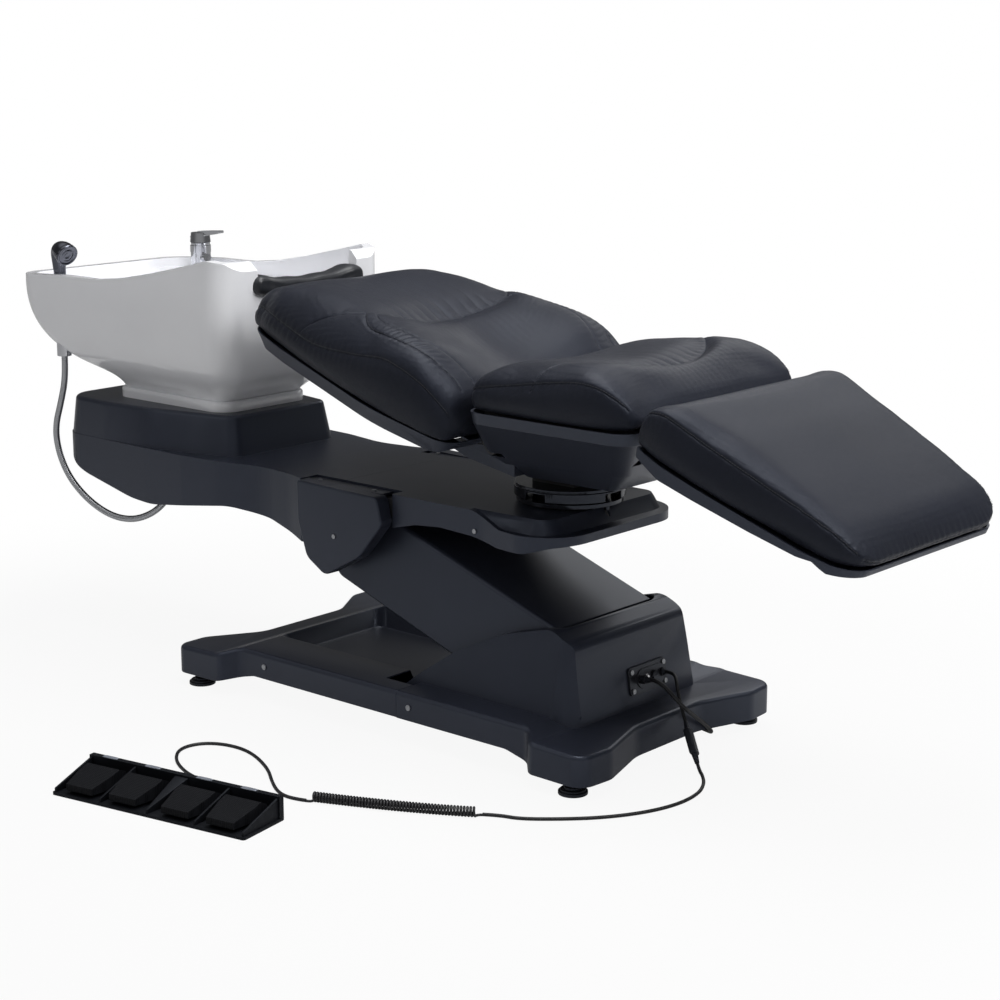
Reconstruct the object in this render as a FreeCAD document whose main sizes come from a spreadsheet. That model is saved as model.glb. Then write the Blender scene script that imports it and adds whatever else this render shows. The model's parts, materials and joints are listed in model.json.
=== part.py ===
# Hair washing bed: a powered lift base, a swivel seat with folding back and leg rests,
# a ceramic wash bowl with tap and hand shower, and a four pedal foot control.
# X runs from the bowl end to the foot end, Y away from the control panel's near side, Z up.
import FreeCAD, Part
import Sketcher
import math
import os
import re

os.makedirs("parts", exist_ok=True)
V = FreeCAD.Vector
doc = FreeCAD.newDocument("HairWashingBed")
sheet = doc.addObject("Spreadsheet::Sheet", "Sizes")

# Driving sizes in millimetres and degrees
sizes = {
    # base covers
    "base_reach": 528, "base_half": 292, "base_top": 98, "lobe_top": 84,
    "arch_under": 46, "cover_wall": 4, "tray_floor": 60, "tray_half": 150, "tray_back": 380,
    "tray_slope": 22, "seam_place": 62, "seam_gap": 0.4, "cover_round": 9, "overrun": 60,
    # housing over the arm
    "housing_back": 8, "housing_front": 434, "housing_high": 252, "housing_half": 213,
    "housing_lean": 32, "housing_corner": 45, "opening_half": 158, "opening_back": 8,
    "opening_front": 362, "opening_corner": 40,
    # control panel
    "panel_y": 31, "panel_z": 131, "panel_long": 112, "panel_tall": 52, "panel_thick": 4,
    "panel_corner": 7, "socket_radius": 9, "button_travel": 2.5,
    # feet and steel frame
    "foot_place": 484, "foot_side": 260, "pad_radius": 26.5, "pad_high": 14, "stem_radius": 7,
    "tube_wide": 36, "tube_high": 28, "tube_level": 42, "rail_side": 205, "rail_level": 44,
    "rail_high": 34, "floor_level": 54, "floor_thick": 6, "screw_radius": 5.5,
    # lift linkage
    "pivot_x": 300, "pivot_z": 175, "carry_x": -150, "carry_z": 333, "pin_radius": 12.5,
    "fit": 0.05, "bush_radius": 22, "bar_side": 120, "bar_thick": 20, "bar_high": 50,
    "bracket_side": 89, "bracket_thick": 10, "bracket_wide": 72, "cross_radius": 18,
    "link_rise": 50, "link_half": 11, "link_thick": 12, "link_pin": 8, "play": 1,
    "arm_half": 148, "arm_flare": 6, "arm_above": 82, "arm_below": 88, "arm_front": 23,
    "arm_under": 125, "arm_round": 58, "crank": 90, "crank_angle": 10, "lever_thick": 8,
    "lever_gap": 12, "rod_radius": 10, "screw_tube": 17, "gear_long": 45, "motor_radius": 20,
    "motor_long": 80, "fork_thick": 8, "fork_long": 46,
    # carriage
    "rail_y": 165, "rail_thick": 18, "carriage_low": 400, "carriage_high": 435, "deck": 447,
    "carriage_back": -860, "carriage_front": 340, "spine_y": 130, "ear_thick": 12, "post_side": 25,
    "front_half": 181, "front_reach": 388, "lip_top": 421, "plateau_half": 162,
    "notch_half": 148, "seam_deck": -176, "rear_half": 197, "rear_reach": 1010,
    "pedestal_top": 528, "pivot_cover_out": 208, "pivot_cover_in": 178, "running": 0.4,
    # bowl, tap and shower
    "bowl_back": -1088, "bowl_front": -424, "bowl_half": 228, "bowl_wall": 24,
    "rim_high": 856, "bowl_deck": 766, "drain_x": -740, "drain_radius": 22, "notch_low": 778,
    "notch_wide": 132, "tap_x": -940, "tap_y": 168, "tap_radius": 23, "tap_high": 58, "lever_range": 20,
    "lever_pin": 2,
    "shower_x": -984, "shower_y": -186, "sleeve_radius": 18, "shower_radius": 12,
    "hose_radius": 7, "hose_bore": 4.5, "rib_pitch": 4.2, "rib_deep": 0.8, "neck_half": 150,
    "neck_x": -440, "neck_thick": 10,
    # swivel
    "swivel_x": 262, "ring_radius": 100, "ring_bore": 62, "ring_low": 451, "ring_thick": 8,
    "ring_gap": 28, "stud_radius": 5, "plate_thick": 6, "tab_wide": 46,
    # seat
    "seat_back": 221, "seat_front": 597, "seat_half": 262, "seat_low": 646, "seat_crest": 740,
    "shell_rim": 625, "shell_low": 502, "shell_waist": 128,
    "seat_rail": 200, "seat_rail_high": 24,
    # back and leg hinges
    "back_x": 145, "back_z": 640, "back_slope": 16.5, "back_reach": 530, "back_half": 288,
    "back_under": 45, "back_wing": 92, "back_round": 72,
    "shell_deep": 34, "leg_x": 660, "leg_z": 650, "leg_slope": 24, "leg_reach": 408,
    "leg_half": 272, "leg_under": 36, "leg_crest": 57, "leg_round": 57,
    "lug_side": 154, "lug_thick": 8, "lug_radius": 13,
    "hinge_pin": 8, "lug_gap": 1, "slide_back": 47, "slide_leg": 58, "back_range": 55,
    "leg_range": 44, "slide_pin": 6, "slide_bar_y": 123, "slide_bar_thick": 14, "slide_bar_high": 27,
    # foot control
    "pedal_x": 0, "pedal_y": -768, "pedal_turn": 10, "pedal_long": 420, "pedal_deep": 112,
    "pedal_high": 44, "pedal_floor": 5, "pedal_wall": 4, "pedal_rear": 74, "pedal_tip": 58,
    "pedal_crest": 40, "pedal_pin": 3,
    # cords and wall plug
    "lead_radius": 3.2, "curl_outer": 9.5, "curl_wire": 2.4, "curl_count": 52, "curl_bend": 6,
    "mains_radius": 3.8, "coil_loops": 3, "coil_radius": 45, "coil_step": 8.4, "coil_x": -20,
    "coil_y": 380, "plug_half": 12.2, "plug_long": 36, "relief_long": 16, "plug_pin": 2.4,
}
for row, (name, value) in enumerate(sizes.items(), 1):
    sheet.set(f"A{row}", name)
    sheet.set(f"B{row}", str(value))
    sheet.setAlias(f"B{row}", name)
doc.recompute()


class Reader:
    """Reads a named size from the sheet."""

    def __getattr__(self, name):
        return float(sheet.get(name))


S = Reader()
nodes = {}


def words(text):
    """Expression text with each size name pointed at the sheet."""
    return re.sub(r"[a-z_]+", lambda m: "Sizes." + m[0] if m[0] in sizes else m[0], text)


def bind(thing, prop, text):
    thing.setExpression(prop, words(text))


def at(thing, x, y, z):
    for axis, text in zip("xyz", (x, y, z)):
        bind(thing, "Placement.Base." + axis, text)
    return thing


def block(x0, x1, y0, y1, z0, z1):
    """Box between two limits on each axis."""
    made = doc.addObject("Part::Box", "Block")
    for prop, a, b in (("Length", x0, x1), ("Width", y0, y1), ("Height", z0, z1)):
        bind(made, prop, f"({b}) - ({a})")
    return at(made, x0, y0, z0)


def rod(radius, length, x, y, z, axis="z"):
    """Round bar from a point along an axis."""
    made = doc.addObject("Part::Cylinder", "Rod")
    bind(made, "Radius", radius)
    bind(made, "Height", length)
    way = {"x": V(1, 0, 0), "y": V(0, 1, 0), "z": V(0, 0, 1)}[axis]
    made.Placement = FreeCAD.Placement(V(0, 0, 0), FreeCAD.Rotation(V(0, 0, 1), way))
    return at(made, x, y, z)


def fuse(*things):
    made = doc.addObject("Part::MultiFuse", "Joined")
    made.Shapes = list(things)
    return made


def cut(base, *tools):
    made = doc.addObject("Part::Cut", "Trimmed")
    made.Base = base
    made.Tool = tools[0] if len(tools) == 1 else group(*tools)
    return made


def group(*things):
    made = doc.addObject("Part::Compound", "Set")
    made.Links = list(things)
    return made


def node(name, thing):
    """Names one finished piece, or a set of like pieces."""
    thing.Label = name
    nodes[name] = thing
    return thing


def solid(name, shape):
    """A piece whose surface is worked out in code from the sheet."""
    made = doc.addObject("Part::Feature", "Formed")
    made.Shape = shape
    if name:
        node(name, made)
    return made


def plane(body, role):
    return next(f for f in body.Origin.OriginFeatures if f.Role == role)


def sketch(body, role, outline, level="0"):
    """Closed outline on an origin plane, each corner held by named sizes."""
    made = body.newObject("Sketcher::SketchObject", "Outline")
    made.AttachmentSupport = (plane(body, role), "")
    made.MapMode = "FlatFace"
    bind(made, "AttachmentOffset.Base.z", level)
    value = [[float(sheet.evalExpression(t)) for t in corner] for corner in outline]
    count = len(outline)
    for i in range(count):
        a, b = value[i], value[(i + 1) % count]
        made.addGeometry(Part.LineSegment(V(a[0], a[1], 0), V(b[0], b[1], 0)))
    for i in range(count):
        made.addConstraint(Sketcher.Constraint("Coincident", i, 2, (i + 1) % count, 1))
    for i, corner in enumerate(outline):
        for kind, text, v, line in zip(("DistanceX", "DistanceY"), corner, value[i], (-2, -1)):
            if v == 0:
                made.addConstraint(Sketcher.Constraint("PointOnObject", i, 1, line))
            else:
                k = made.addConstraint(Sketcher.Constraint(kind, -1, 1, i, 1, v))
                bind(made, f"Constraints[{k}]", text)
    return made


def padded(name, role, outline, level, depth):
    """Body: an outline pushed out from its level by a depth."""
    body = doc.addObject("PartDesign::Body", name)
    pad = body.newObject("PartDesign::Pad", "Pad")
    pad.Profile = sketch(body, role, outline, level)
    bind(pad, "Length", depth)
    doc.recompute()
    return body


def rounded(points, radii):
    """Closed wire through corners, each rounded by its own radius."""
    edges = []
    count = len(points)
    marks = []
    for i, p in enumerate(points):
        u = (points[i - 1] - p).normalize()
        v = (points[(i + 1) % count] - p).normalize()
        half = u.getAngle(v) / 2
        reach = radii[i] / math.tan(half)
        middle = (u + v).normalize()
        centre = p + middle * (radii[i] / math.sin(half))
        marks.append((p + u * reach, centre - middle * radii[i], p + v * reach))
    for i in range(count):
        start, mid, end = marks[i]
        edges.append(Part.Arc(start, mid, end).toShape())
        after = marks[(i + 1) % count][0]
        if (after - end).Length > S.fit / 1000:
            edges.append(Part.makeLine(end, after))
    return Part.Wire(edges)


def mirror_half(half):
    """Full outline from its half on one side of the X axis."""
    return half + [(x, -y, r) for x, y, r in reversed(half) if y != 0]


def plan(half, z):
    """Rounded plan outline at a level from a mirrored half outline."""
    whole = mirror_half(half)
    return rounded([V(x, y, z) for x, y, r in whole], [r for x, y, r in whole])


def side(table, y):
    """Rounded side outline in a plane across Y."""
    return rounded([V(x, y, z) for x, z, r in table], [r for x, z, r in table])


def scaled(table, *by):
    return [tuple(v * b for v, b in zip(entry, by)) for entry in table]


def frame4(x0, x1, half, r, z):
    """Rounded rectangle in plan."""
    points = [V(x0, -half, z), V(x1, -half, z), V(x1, half, z), V(x0, half, z)]
    return rounded(points, [r] * 4)


def edges_where(shape, test):
    return [e for e in shape.Edges if test(e)]


# Base covers: one plan outline and one side outline, hollow below, split at the seam
base_plan_shares = [
    (-0.875, 0, 0.685), (-0.875, -0.384, 0.24), (-1, -0.736, 0.137), (-1, -1, 0.096),
    (-0.75, -1, 0.075), (-0.693, -0.897, 0.089), (0.72, -0.897, 0.089), (0.773, -1, 0.082),
    (1, -1, 0.11), (1.011, -0.736, 0.171), (0.938, -0.325, 0.377), (0.938, 0, 0.685),
]
base_side_shares = [
    (-1.061, 0.245, 0.041), (-0.777, 0.265, 0.612), (-0.625, 0.469, 0.612), (0.625, 0.469, 0.612),
    (0.777, 0.265, 0.612), (1.061, 0.245, 0.041), (1.061, 0.816, 0.041), (0.795, 0.857, 0.408),
    (0.705, 1, 0.408), (-0.693, 1, 0.408), (-0.78, 0.857, 0.408), (-1.061, 0.816, 0.041),
]


def base_block(inset):
    """Solid of the base covers' outside, or of the hollow below them."""
    outline = scaled(base_plan_shares, S.base_reach, S.base_half, S.base_half)
    flat = [e for e in outline if e[1] != 0]
    face = Part.Face(plan(flat, -S.overrun))
    low = [e for e in scaled(base_side_shares, S.base_reach, S.base_top, S.base_top)]
    if inset:
        face = face.makeOffset2D(-inset)
        low = [(x, z - inset if i > 5 else z - S.overrun, r) for i, (x, z, r) in enumerate(low)]
    body = face.extrude(V(0, 0, S.base_top + 2 * S.overrun))
    wide = S.base_half + S.overrun
    return body.common(Part.Face(side(low, -wide)).extrude(V(0, 2 * wide, 0)))


def tray(grow):
    """Sloped hollow in the rear of the base."""
    drop = S.tray_slope
    top = frame4(-S.tray_back - grow, S.seam_place + drop, S.tray_half + grow, drop + grow,
                 S.base_top + S.cover_wall)
    low = frame4(-S.tray_back + drop - grow, S.seam_place, S.tray_half - drop + grow,
                 drop + grow, S.tray_floor - grow)
    return Part.makeLoft([low, top], True, True)


# Housing dome: a side outline met by a leaning column, open along its middle
dome_side_shares = [
    (-0.018, 0.159, 0.008), (-0.018, 0.246, 0.024), (0.115, 0.44, 1.19), (0.323, 0.687, 1.19),
    (0.576, 0.889, 1.19), (0.816, 1, 0.183), (0.935, 0.901, 0.079), (1, 0.238, 0.119),
    (1, 0.159, 0.008),
]


def dome_block(inset):
    outline = scaled(dome_side_shares, S.housing_front, S.housing_high, S.housing_high)
    reach = S.housing_back + S.overrun
    column = []
    for level, share in ((S.arch_under - S.overrun, 0), (S.housing_high + S.cover_wall, 1)):
        lean = S.housing_lean * share
        half = S.housing_half - inset - lean * 1.5
        column.append(frame4(-reach, S.housing_front + S.cover_wall - inset - lean / 2, half,
                             S.housing_corner - inset, level))
    body = Part.makeLoft(column, True, True)
    profile = Part.Face(side(outline, -S.base_half))
    if inset:
        low = [(x, z - S.overrun if i in (0, 8) else z, r) for i, (x, z, r) in enumerate(outline)]
        profile = Part.Face(side(low, -S.base_half)).makeOffset2D(-inset)
    return body.common(profile.extrude(V(0, 2 * S.base_half, 0)))


slab = base_block(0)
crown = edges_where(slab, lambda e: all(v.Point.z > S.lobe_top - S.cover_wall * 2 for v in e.Vertexes)
                    and e.BoundBox.ZMax > S.lobe_top - S.cover_wall * 2)
slab = slab.makeFillet(S.cover_round, crown)
hollow = base_block(S.cover_wall)
wide = 2 * S.base_half
half_space = Part.makeBox(S.base_reach * 2, 2 * wide, wide, V(S.seam_place, -wide, -S.overrun))
foot_slot = Part.makeBox(S.seam_place + S.housing_back + S.seam_gap * 2,
                         2 * (S.housing_half + S.seam_gap), wide,
                         V(-S.housing_back - S.seam_gap, -S.housing_half - S.seam_gap, -S.overrun))
rail_way = []
for sign in (1, -1):
    rail_way.append(Part.makeBox(S.base_reach, S.tube_wide + 2 * S.play, S.rail_level + S.rail_high + S.play,
                                 V(-S.overrun - S.housing_back, sign * S.rail_side - S.tube_wide / 2 - S.play,
                                   0)))
rear_shell = slab.cut(tray(0)).cut(hollow.cut(tray(S.cover_wall)))
rear_gap = Part.makeBox(S.base_reach * 2, 2 * wide, wide,
                        V(S.seam_place - S.seam_gap, -wide, -S.overrun))
rear_shell = rear_shell.cut(rear_gap).cut(foot_slot)
solid("base_cover_rear", rear_shell)

dome = dome_block(0)
under_cut = Part.makeBox(wide * 2, wide * 2, S.overrun * 2, V(-wide, -wide, S.arch_under - 2 * S.overrun))
dome = dome.cut(under_cut)
front_shell = slab.common(half_space).fuse(dome).cut(hollow.common(half_space)).cut(dome_block(S.cover_wall))
opening = Part.Face(frame4(S.opening_back, S.opening_front, S.opening_half, S.opening_corner,
                           S.tray_floor)).extrude(V(0, 0, S.housing_high))
# Control panel place on the sloped front face, and its holes through the wall
face_low, face_high = [scaled(dome_side_shares, S.housing_front, S.housing_high, 1)[i] for i in (7, 6)]
face_tilt = math.atan2(face_low[0] - face_high[0], face_high[1] - face_low[1])
panel_rise = (S.panel_z - face_low[1]) / (face_high[1] - face_low[1])
panel_x = face_low[0] + (face_high[0] - face_low[0]) * panel_rise
panel_place = FreeCAD.Placement(V(panel_x, S.panel_y, S.panel_z),
                                FreeCAD.Rotation(V(0, 1, 0), -math.degrees(face_tilt)))
socket_shares = {"mains": -0.22, "button": -0.07, "fuse": 0.15, "control": 0.36}
socket_y = {key: S.panel_long * share for key, share in socket_shares.items()}


def on_panel(shape):
    """Shape modelled on the panel's own axes, laid on the sloped face."""
    shape.Placement = panel_place.multiply(shape.Placement)
    return shape


def peg(radius, start, length, y, z=0):
    return Part.makeCylinder(radius, length, V(start, y, z), V(1, 0, 0))


front_shell = front_shell.cut(opening).cut(rail_way)
for y in socket_y.values():
    front_shell = front_shell.cut(on_panel(peg(S.socket_radius, -S.cover_wall * 4, S.cover_wall * 8, y)))
front_shell = front_shell.removeSplitter()
solid("base_cover_front", front_shell)

# Levelling feet: ringed pads on threaded stems
foot_parts = []
for fx in ("foot_place", "-foot_place"):
    for fy in ("foot_side", "-foot_side"):
        pad = rod("pad_radius", "pad_high * 0.45", fx, fy, "0")
        step = rod("pad_radius * 0.86", "pad_high * 0.3", fx, fy, "pad_high * 0.4")
        top = rod("pad_radius * 0.6", "pad_high * 0.35", fx, fy, "pad_high * 0.65")
        stem = rod("stem_radius", "tube_level + tube_high - pad_high * 0.9", fx, fy, "pad_high * 0.9")
        foot_parts.append(fuse(pad, step, top, stem))
node("levelling_feet", group(*foot_parts))

# Steel frame: cross tubes over the feet, two rails, a floor plate and the pivot brackets
steel = []
for fx in ("foot_place", "-foot_place"):
    near = f"{fx} * 0.89"
    steel.append(block(f"{near} - tube_wide / 2", f"{near} + tube_wide / 2", "-foot_side - tube_wide / 2",
                       "foot_side + tube_wide / 2", "tube_level", "tube_level + tube_high"))
    ends = (near, f"{fx} + tube_wide / 2") if fx[0] != "-" else (f"{fx} - tube_wide / 2", near)
    for side_y in ("foot_side", "-foot_side"):
        steel.append(block(*ends, f"{side_y} - tube_wide / 2", f"{side_y} + tube_wide / 2",
                           "tube_level", "tube_level + tube_high"))
for sign in ("", "-"):
    steel.append(block("-foot_place * 0.89", "foot_place * 0.89", f"{sign}rail_side - tube_wide / 2",
                       f"{sign}rail_side + tube_wide / 2", "rail_level", "rail_level + rail_high"))
steel.append(block("seam_place / 3", "pivot_x + bracket_wide", "-rail_side", "rail_side",
                   "floor_level", "floor_level + floor_thick"))
for sign in (1, -1):
    near = f"{sign} * bracket_side"
    steel.append(block("pivot_x - bracket_wide / 2", "pivot_x + bracket_wide / 2",
                       f"{near} - bracket_thick / 2", f"{near} + bracket_thick / 2", "floor_level",
                       "pivot_z + pin_radius * 2"))
steel.append(block("pivot_x - pin_radius * 1.6", "pivot_x + pin_radius * 1.6",
                   "-bracket_side - bracket_thick / 2", "-bracket_side + bracket_thick / 2",
                   "pivot_z", "pivot_z + link_rise + link_pin * 1.8"))
steel.append(rod("link_pin", "bracket_thick + link_thick + play * 3",
                 "pivot_x", "-bracket_side - bracket_thick / 2", "pivot_z + link_rise", "y"))
holes = [rod("pin_radius + fit", "bracket_side * 4", "pivot_x", "-bracket_side * 2", "pivot_z", "y")]
for fx in ("foot_place", "-foot_place"):
    for fy in ("foot_side", "-foot_side"):
        holes.append(rod("stem_radius + fit", "tube_high * 4", fx, fy, "tube_level - tube_high"))
node("base_frame", cut(fuse(*steel), *holes))
node("lower_pivot_shaft", group(rod("pin_radius", "bar_side * 2 + bar_thick * 1.2", "pivot_x",
                                    "-bar_side - bar_thick * 0.6", "pivot_z", "y")))

# Screws through the base covers and the panel face
screw_parts = []
for sign in (1, -1):
    for place in ("seam_place * 1.5", "-tray_back * 0.78"):
        head = rod("screw_radius", "cover_wall * 0.6", place, "0",
                   "arch_under + (base_top - arch_under) * 0.5", "y")
        bind(head, "Placement.Base.y", "base_half * 0.897" if sign > 0
             else "-base_half * 0.897 - cover_wall * 0.6")
        screw_parts.append(head)


# Control panel: a screwed plate with a raised oval, two sockets, a button and a fuse cap
half_long, half_tall = S.panel_long / 2, S.panel_tall / 2
plate_points = [V(0, -half_long, -half_tall), V(0, half_long, -half_tall),
                V(0, half_long, half_tall), V(0, -half_long, half_tall)]
plate = Part.Face(rounded(plate_points, [S.panel_corner] * 4)).extrude(V(S.panel_thick, 0, 0))
oval_middle_share, oval_half_share, oval_tall_share = 0.07, 0.38, 0.35
oval_y = S.panel_long * oval_middle_share
oval_half = S.panel_long * oval_half_share
oval_tall = S.panel_tall * oval_tall_share
oval_points = [V(0, oval_y - oval_half, -oval_tall), V(0, oval_y + oval_half, -oval_tall),
               V(0, oval_y + oval_half, oval_tall), V(0, oval_y - oval_half, oval_tall)]
plate = plate.fuse(Part.Face(rounded(oval_points, [oval_tall * 0.98] * 4)).extrude(V(S.panel_thick * 1.5, 0,
                                                                                     0)))
for y in socket_y.values():
    plate = plate.cut(peg(S.socket_radius * 0.8, -S.overrun / 4, S.overrun, y))
panel_screws = []
screw_gap = S.screw_radius * 1.5
for sy in (1, -1):
    for sz in (1, -1):
        y, z = sy * (half_long - screw_gap), sz * (half_tall - screw_gap)
        plate = plate.cut(peg(S.screw_radius * 0.6, -S.overrun / 4, S.overrun, y, z))
        head = peg(S.screw_radius * 0.85, S.panel_thick, S.screw_radius * 0.5, y, z)
        panel_screws.append(on_panel(head))
solid("socket_panel", on_panel(plate.removeSplitter()))
cap = peg(S.socket_radius * 0.8 - S.fit, -S.panel_thick, S.panel_thick * 2.5, socket_y["fuse"])
cap = cap.fuse(peg(S.socket_radius, S.panel_thick * 1.5, S.panel_thick, socket_y["fuse"]))
slot = Part.makeBox(S.panel_thick, S.socket_radius * 2, S.screw_radius / 4,
                    V(S.panel_thick * 2, socket_y["fuse"] - S.socket_radius, -S.screw_radius / 8))
solid("fuse_cap", on_panel(cap.cut(slot)))
button = peg(S.socket_radius * 0.8 - S.running / 2, -S.panel_thick, S.panel_thick * 2.5 + S.button_travel,
             socket_y["button"])
button = button.makeFillet(S.socket_radius * 0.15, [button.Edges[0]])
solid("power_button", on_panel(button))

# Base screws, with the four that hold the panel
cover_screws_base = group(*screw_parts)
screw_set = Part.makeCompound([s for s in panel_screws])
panel_set = doc.addObject("Part::Feature", "PanelScrews")
panel_set.Shape = screw_set
node("base_screws", group(cover_screws_base, panel_set))

# Electric box and the lift drive on the floor plate
box_deep = "tray_half * 0.4"
node("control_box", fuse(block("seam_place * 0.45", "seam_place * 1.25", f"-{box_deep}", box_deep,
                               "floor_level + floor_thick", "floor_level + floor_thick + gear_long * 0.85"),
                         block("seam_place * 0.35", "seam_place * 1.35", f"-{box_deep} * 0.9",
                               f"{box_deep} * 0.9", "floor_level + floor_thick",
                               "floor_level + floor_thick * 1.5")))

arm_run = math.hypot(S.carry_x - S.pivot_x, S.carry_z - S.pivot_z)
arm_angle = math.degrees(math.atan2(S.carry_z - S.pivot_z, S.pivot_x - S.carry_x))
crank_x = S.pivot_x + S.crank * math.sin(math.radians(S.crank_angle))
swing_share = 0.962
rod_level = S.pivot_z - S.crank * swing_share - S.fit
gear_front = S.seam_place * 1.37
gear_back = gear_front + S.gear_long
floor_top = S.floor_level + S.floor_thick
gear_top = rod_level + S.screw_tube
gear = Part.makeBox(S.gear_long, S.gear_long * 1.3, gear_top - floor_top,
                    V(gear_front, -S.gear_long * 0.65, floor_top))
tube_end = gear_back + S.crank * 0.92
tube = Part.makeCylinder(S.screw_tube, tube_end - gear_back, V(gear_back, 0, rod_level), V(1, 0, 0))
motor = Part.makeCylinder(S.motor_radius, S.motor_long, V(gear_front + S.gear_long / 2, -S.gear_long * 0.65,
                          gear_top - S.motor_radius), V(0, -1, 0))
foot = Part.makeBox(S.rod_radius, S.screw_tube * 2, rod_level - floor_top,
                    V(tube_end - S.rod_radius * 1.5, -S.screw_tube, floor_top))
bore = Part.makeCylinder(S.rod_radius + S.fit, S.crank * 2, V(gear_back + S.running, 0, rod_level),
                         V(1, 0, 0))
solid("lift_actuator", gear.fuse([tube, motor, foot]).cut(bore).removeSplitter())

pin_out = S.lever_gap + S.lever_thick + S.fork_thick * 1.6
fork_in = S.lever_gap + S.lever_thick + S.play * 3
fork_high = S.pin_radius * 1.4
yoke_x = crank_x - S.fork_long
fork = Part.makeBox(S.fork_thick * 1.5, 2 * (fork_in + S.fork_thick), 2 * fork_high,
                    V(yoke_x, -fork_in - S.fork_thick, rod_level - fork_high))
for sign in (1, -1):
    y = fork_in if sign > 0 else -fork_in - S.fork_thick
    fork = fork.fuse(Part.makeBox(S.fork_long + S.pin_radius * 1.6, S.fork_thick, 2 * fork_high,
                                  V(yoke_x, y, rod_level - fork_high)))
link_pin = S.link_pin
slot_half = link_pin + S.play * 0.6
slot_high = link_pin + S.play * 4
fork = fork.cut(Part.makeBox(2 * slot_half, 4 * fork_in, 2 * slot_high,
                             V(crank_x - slot_half, -2 * fork_in, rod_level - slot_high)))
drive = Part.makeCylinder(S.rod_radius, yoke_x - tube_end + S.fork_thick * 3.4,
                          V(tube_end - S.fork_thick * 3.2, 0, rod_level), V(1, 0, 0))
solid("lift_rod", fork.fuse(drive).removeSplitter())


def strap(points, half, y0, y1):
    """Flat link through points in a side view, with round ends."""
    made = None
    for x, z in points:
        disc = Part.makeCylinder(half, y1 - y0, V(x, y0, z), V(0, 1, 0))
        made = disc if made is None else made.fuse(disc)
    for (xa, za), (xb, zb) in zip(points, points[1:]):
        run = math.hypot(xb - xa, zb - za)
        bar = Part.makeBox(run, y1 - y0, 2 * half, V(0, y0, -half))
        turn = FreeCAD.Rotation(V(0, 1, 0), -math.degrees(math.atan2(zb - za, xb - xa)))
        bar.Placement = FreeCAD.Placement(V(xa, 0, za), turn)
        made = made.fuse(bar)
    return made.removeSplitter()


def pin(radius, x, z, y0, y1):
    return Part.makeCylinder(radius, y1 - y0, V(x, y0, z), V(0, 1, 0))


def turned(shape, x, z, angle):
    """Places a flat shape at a pivot and turns it about the pivot's own axis."""
    shape.Placement = FreeCAD.Placement(V(x, 0, z), FreeCAD.Rotation(V(0, 1, 0), angle))
    return shape


# Lift arm: twin bars, bushes, cross tubes and the crank that the drive pulls
half_bar = S.bar_thick / 2
crank_turn = math.radians(S.crank_angle + arm_angle)
crank_point = (S.crank * math.sin(crank_turn), -S.crank * math.cos(crank_turn))
first_share, second_share = 0.158, 0.84
first_cross, second_cross = -arm_run * first_share, -arm_run * second_share
arm = None
for sign in (1, -1):
    middle = sign * S.bar_side
    bar = strap([(0, 0), (-arm_run, 0)], S.bar_high / 2, middle - half_bar, middle + half_bar)
    for x in (0, -arm_run):
        bar = bar.fuse(pin(S.bush_radius, x, 0, middle - half_bar * 1.2, middle + half_bar * 1.4))
    arm = bar if arm is None else arm.fuse(bar)
    inner = S.lever_gap if sign > 0 else -S.lever_gap - S.lever_thick
    arm = arm.fuse(strap([(first_cross, 0), (0, 0), crank_point], S.link_pin * 1.8, inner,
                         inner + S.lever_thick))
for x in (first_cross, second_cross):
    arm = arm.fuse(pin(S.cross_radius, x, 0, -S.bar_side, S.bar_side))
hub_half = S.bracket_side - S.bracket_thick / 2 - S.play * 4
arm = arm.fuse(pin(S.bush_radius, 0, 0, -hub_half, hub_half))
arm = arm.fuse(pin(S.link_pin, crank_point[0], crank_point[1], -pin_out, pin_out))
for x in (0, -arm_run):
    arm = arm.cut(pin(S.pin_radius + S.fit, x, 0, -S.bar_side * 2, S.bar_side * 2))
solid("lift_arm", turned(arm.removeSplitter(), S.pivot_x, S.pivot_z, arm_angle))

# Arm cover: an open ended sleeve with a crease along each side
end_share = 0.72
cover_line = [
    (S.arm_front, S.arm_above, 2), (S.arm_front, S.arm_above / 4, 12), (-S.arm_under, -S.arm_below, 8),
    (-arm_run - S.arm_round / 5, -S.arm_below, S.arm_round * 0.7),
    (-arm_run - S.arm_round, -S.arm_round * end_share, 20),
    (-arm_run - S.arm_round, S.arm_round * end_share, 20),
    (-arm_run - S.arm_round / 2, S.arm_above, 20)]
long = arm_run + S.arm_round + 2 * S.overrun


def arm_section(inset, top, low):
    """Cross section of the arm cover, leaning out below the crease."""
    half, flare = S.arm_half - inset, S.arm_flare
    points = [(-half - flare, low), (half + flare, low), (half, 0), (half - flare, top),
              (-half + flare, top), (-half, 0)]
    radii = [S.cover_wall * 1.5, S.cover_wall * 1.5, S.cover_wall * 3, S.cover_round - inset / 2,
             S.cover_round - inset / 2, S.cover_wall * 3]
    wire = rounded([V(S.overrun, y, z) for y, z in points], radii)
    return Part.Face(wire).extrude(V(-long, 0, 0))


outside = Part.Face(side(cover_line, -S.arm_half * 2)).extrude(V(0, S.arm_half * 4, 0))
sleeve = outside.common(arm_section(0, S.arm_above, -S.arm_below))
sleeve = sleeve.cut(arm_section(S.cover_wall, S.arm_above - S.cover_wall, -S.arm_below + S.cover_wall))
sleeve = sleeve.cut(pin(S.pin_radius + S.play * 1.5, -arm_run, 0, -S.arm_half * 2, S.arm_half * 2))
solid("arm_cover", turned(sleeve, S.pivot_x, S.pivot_z, arm_angle))

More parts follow.
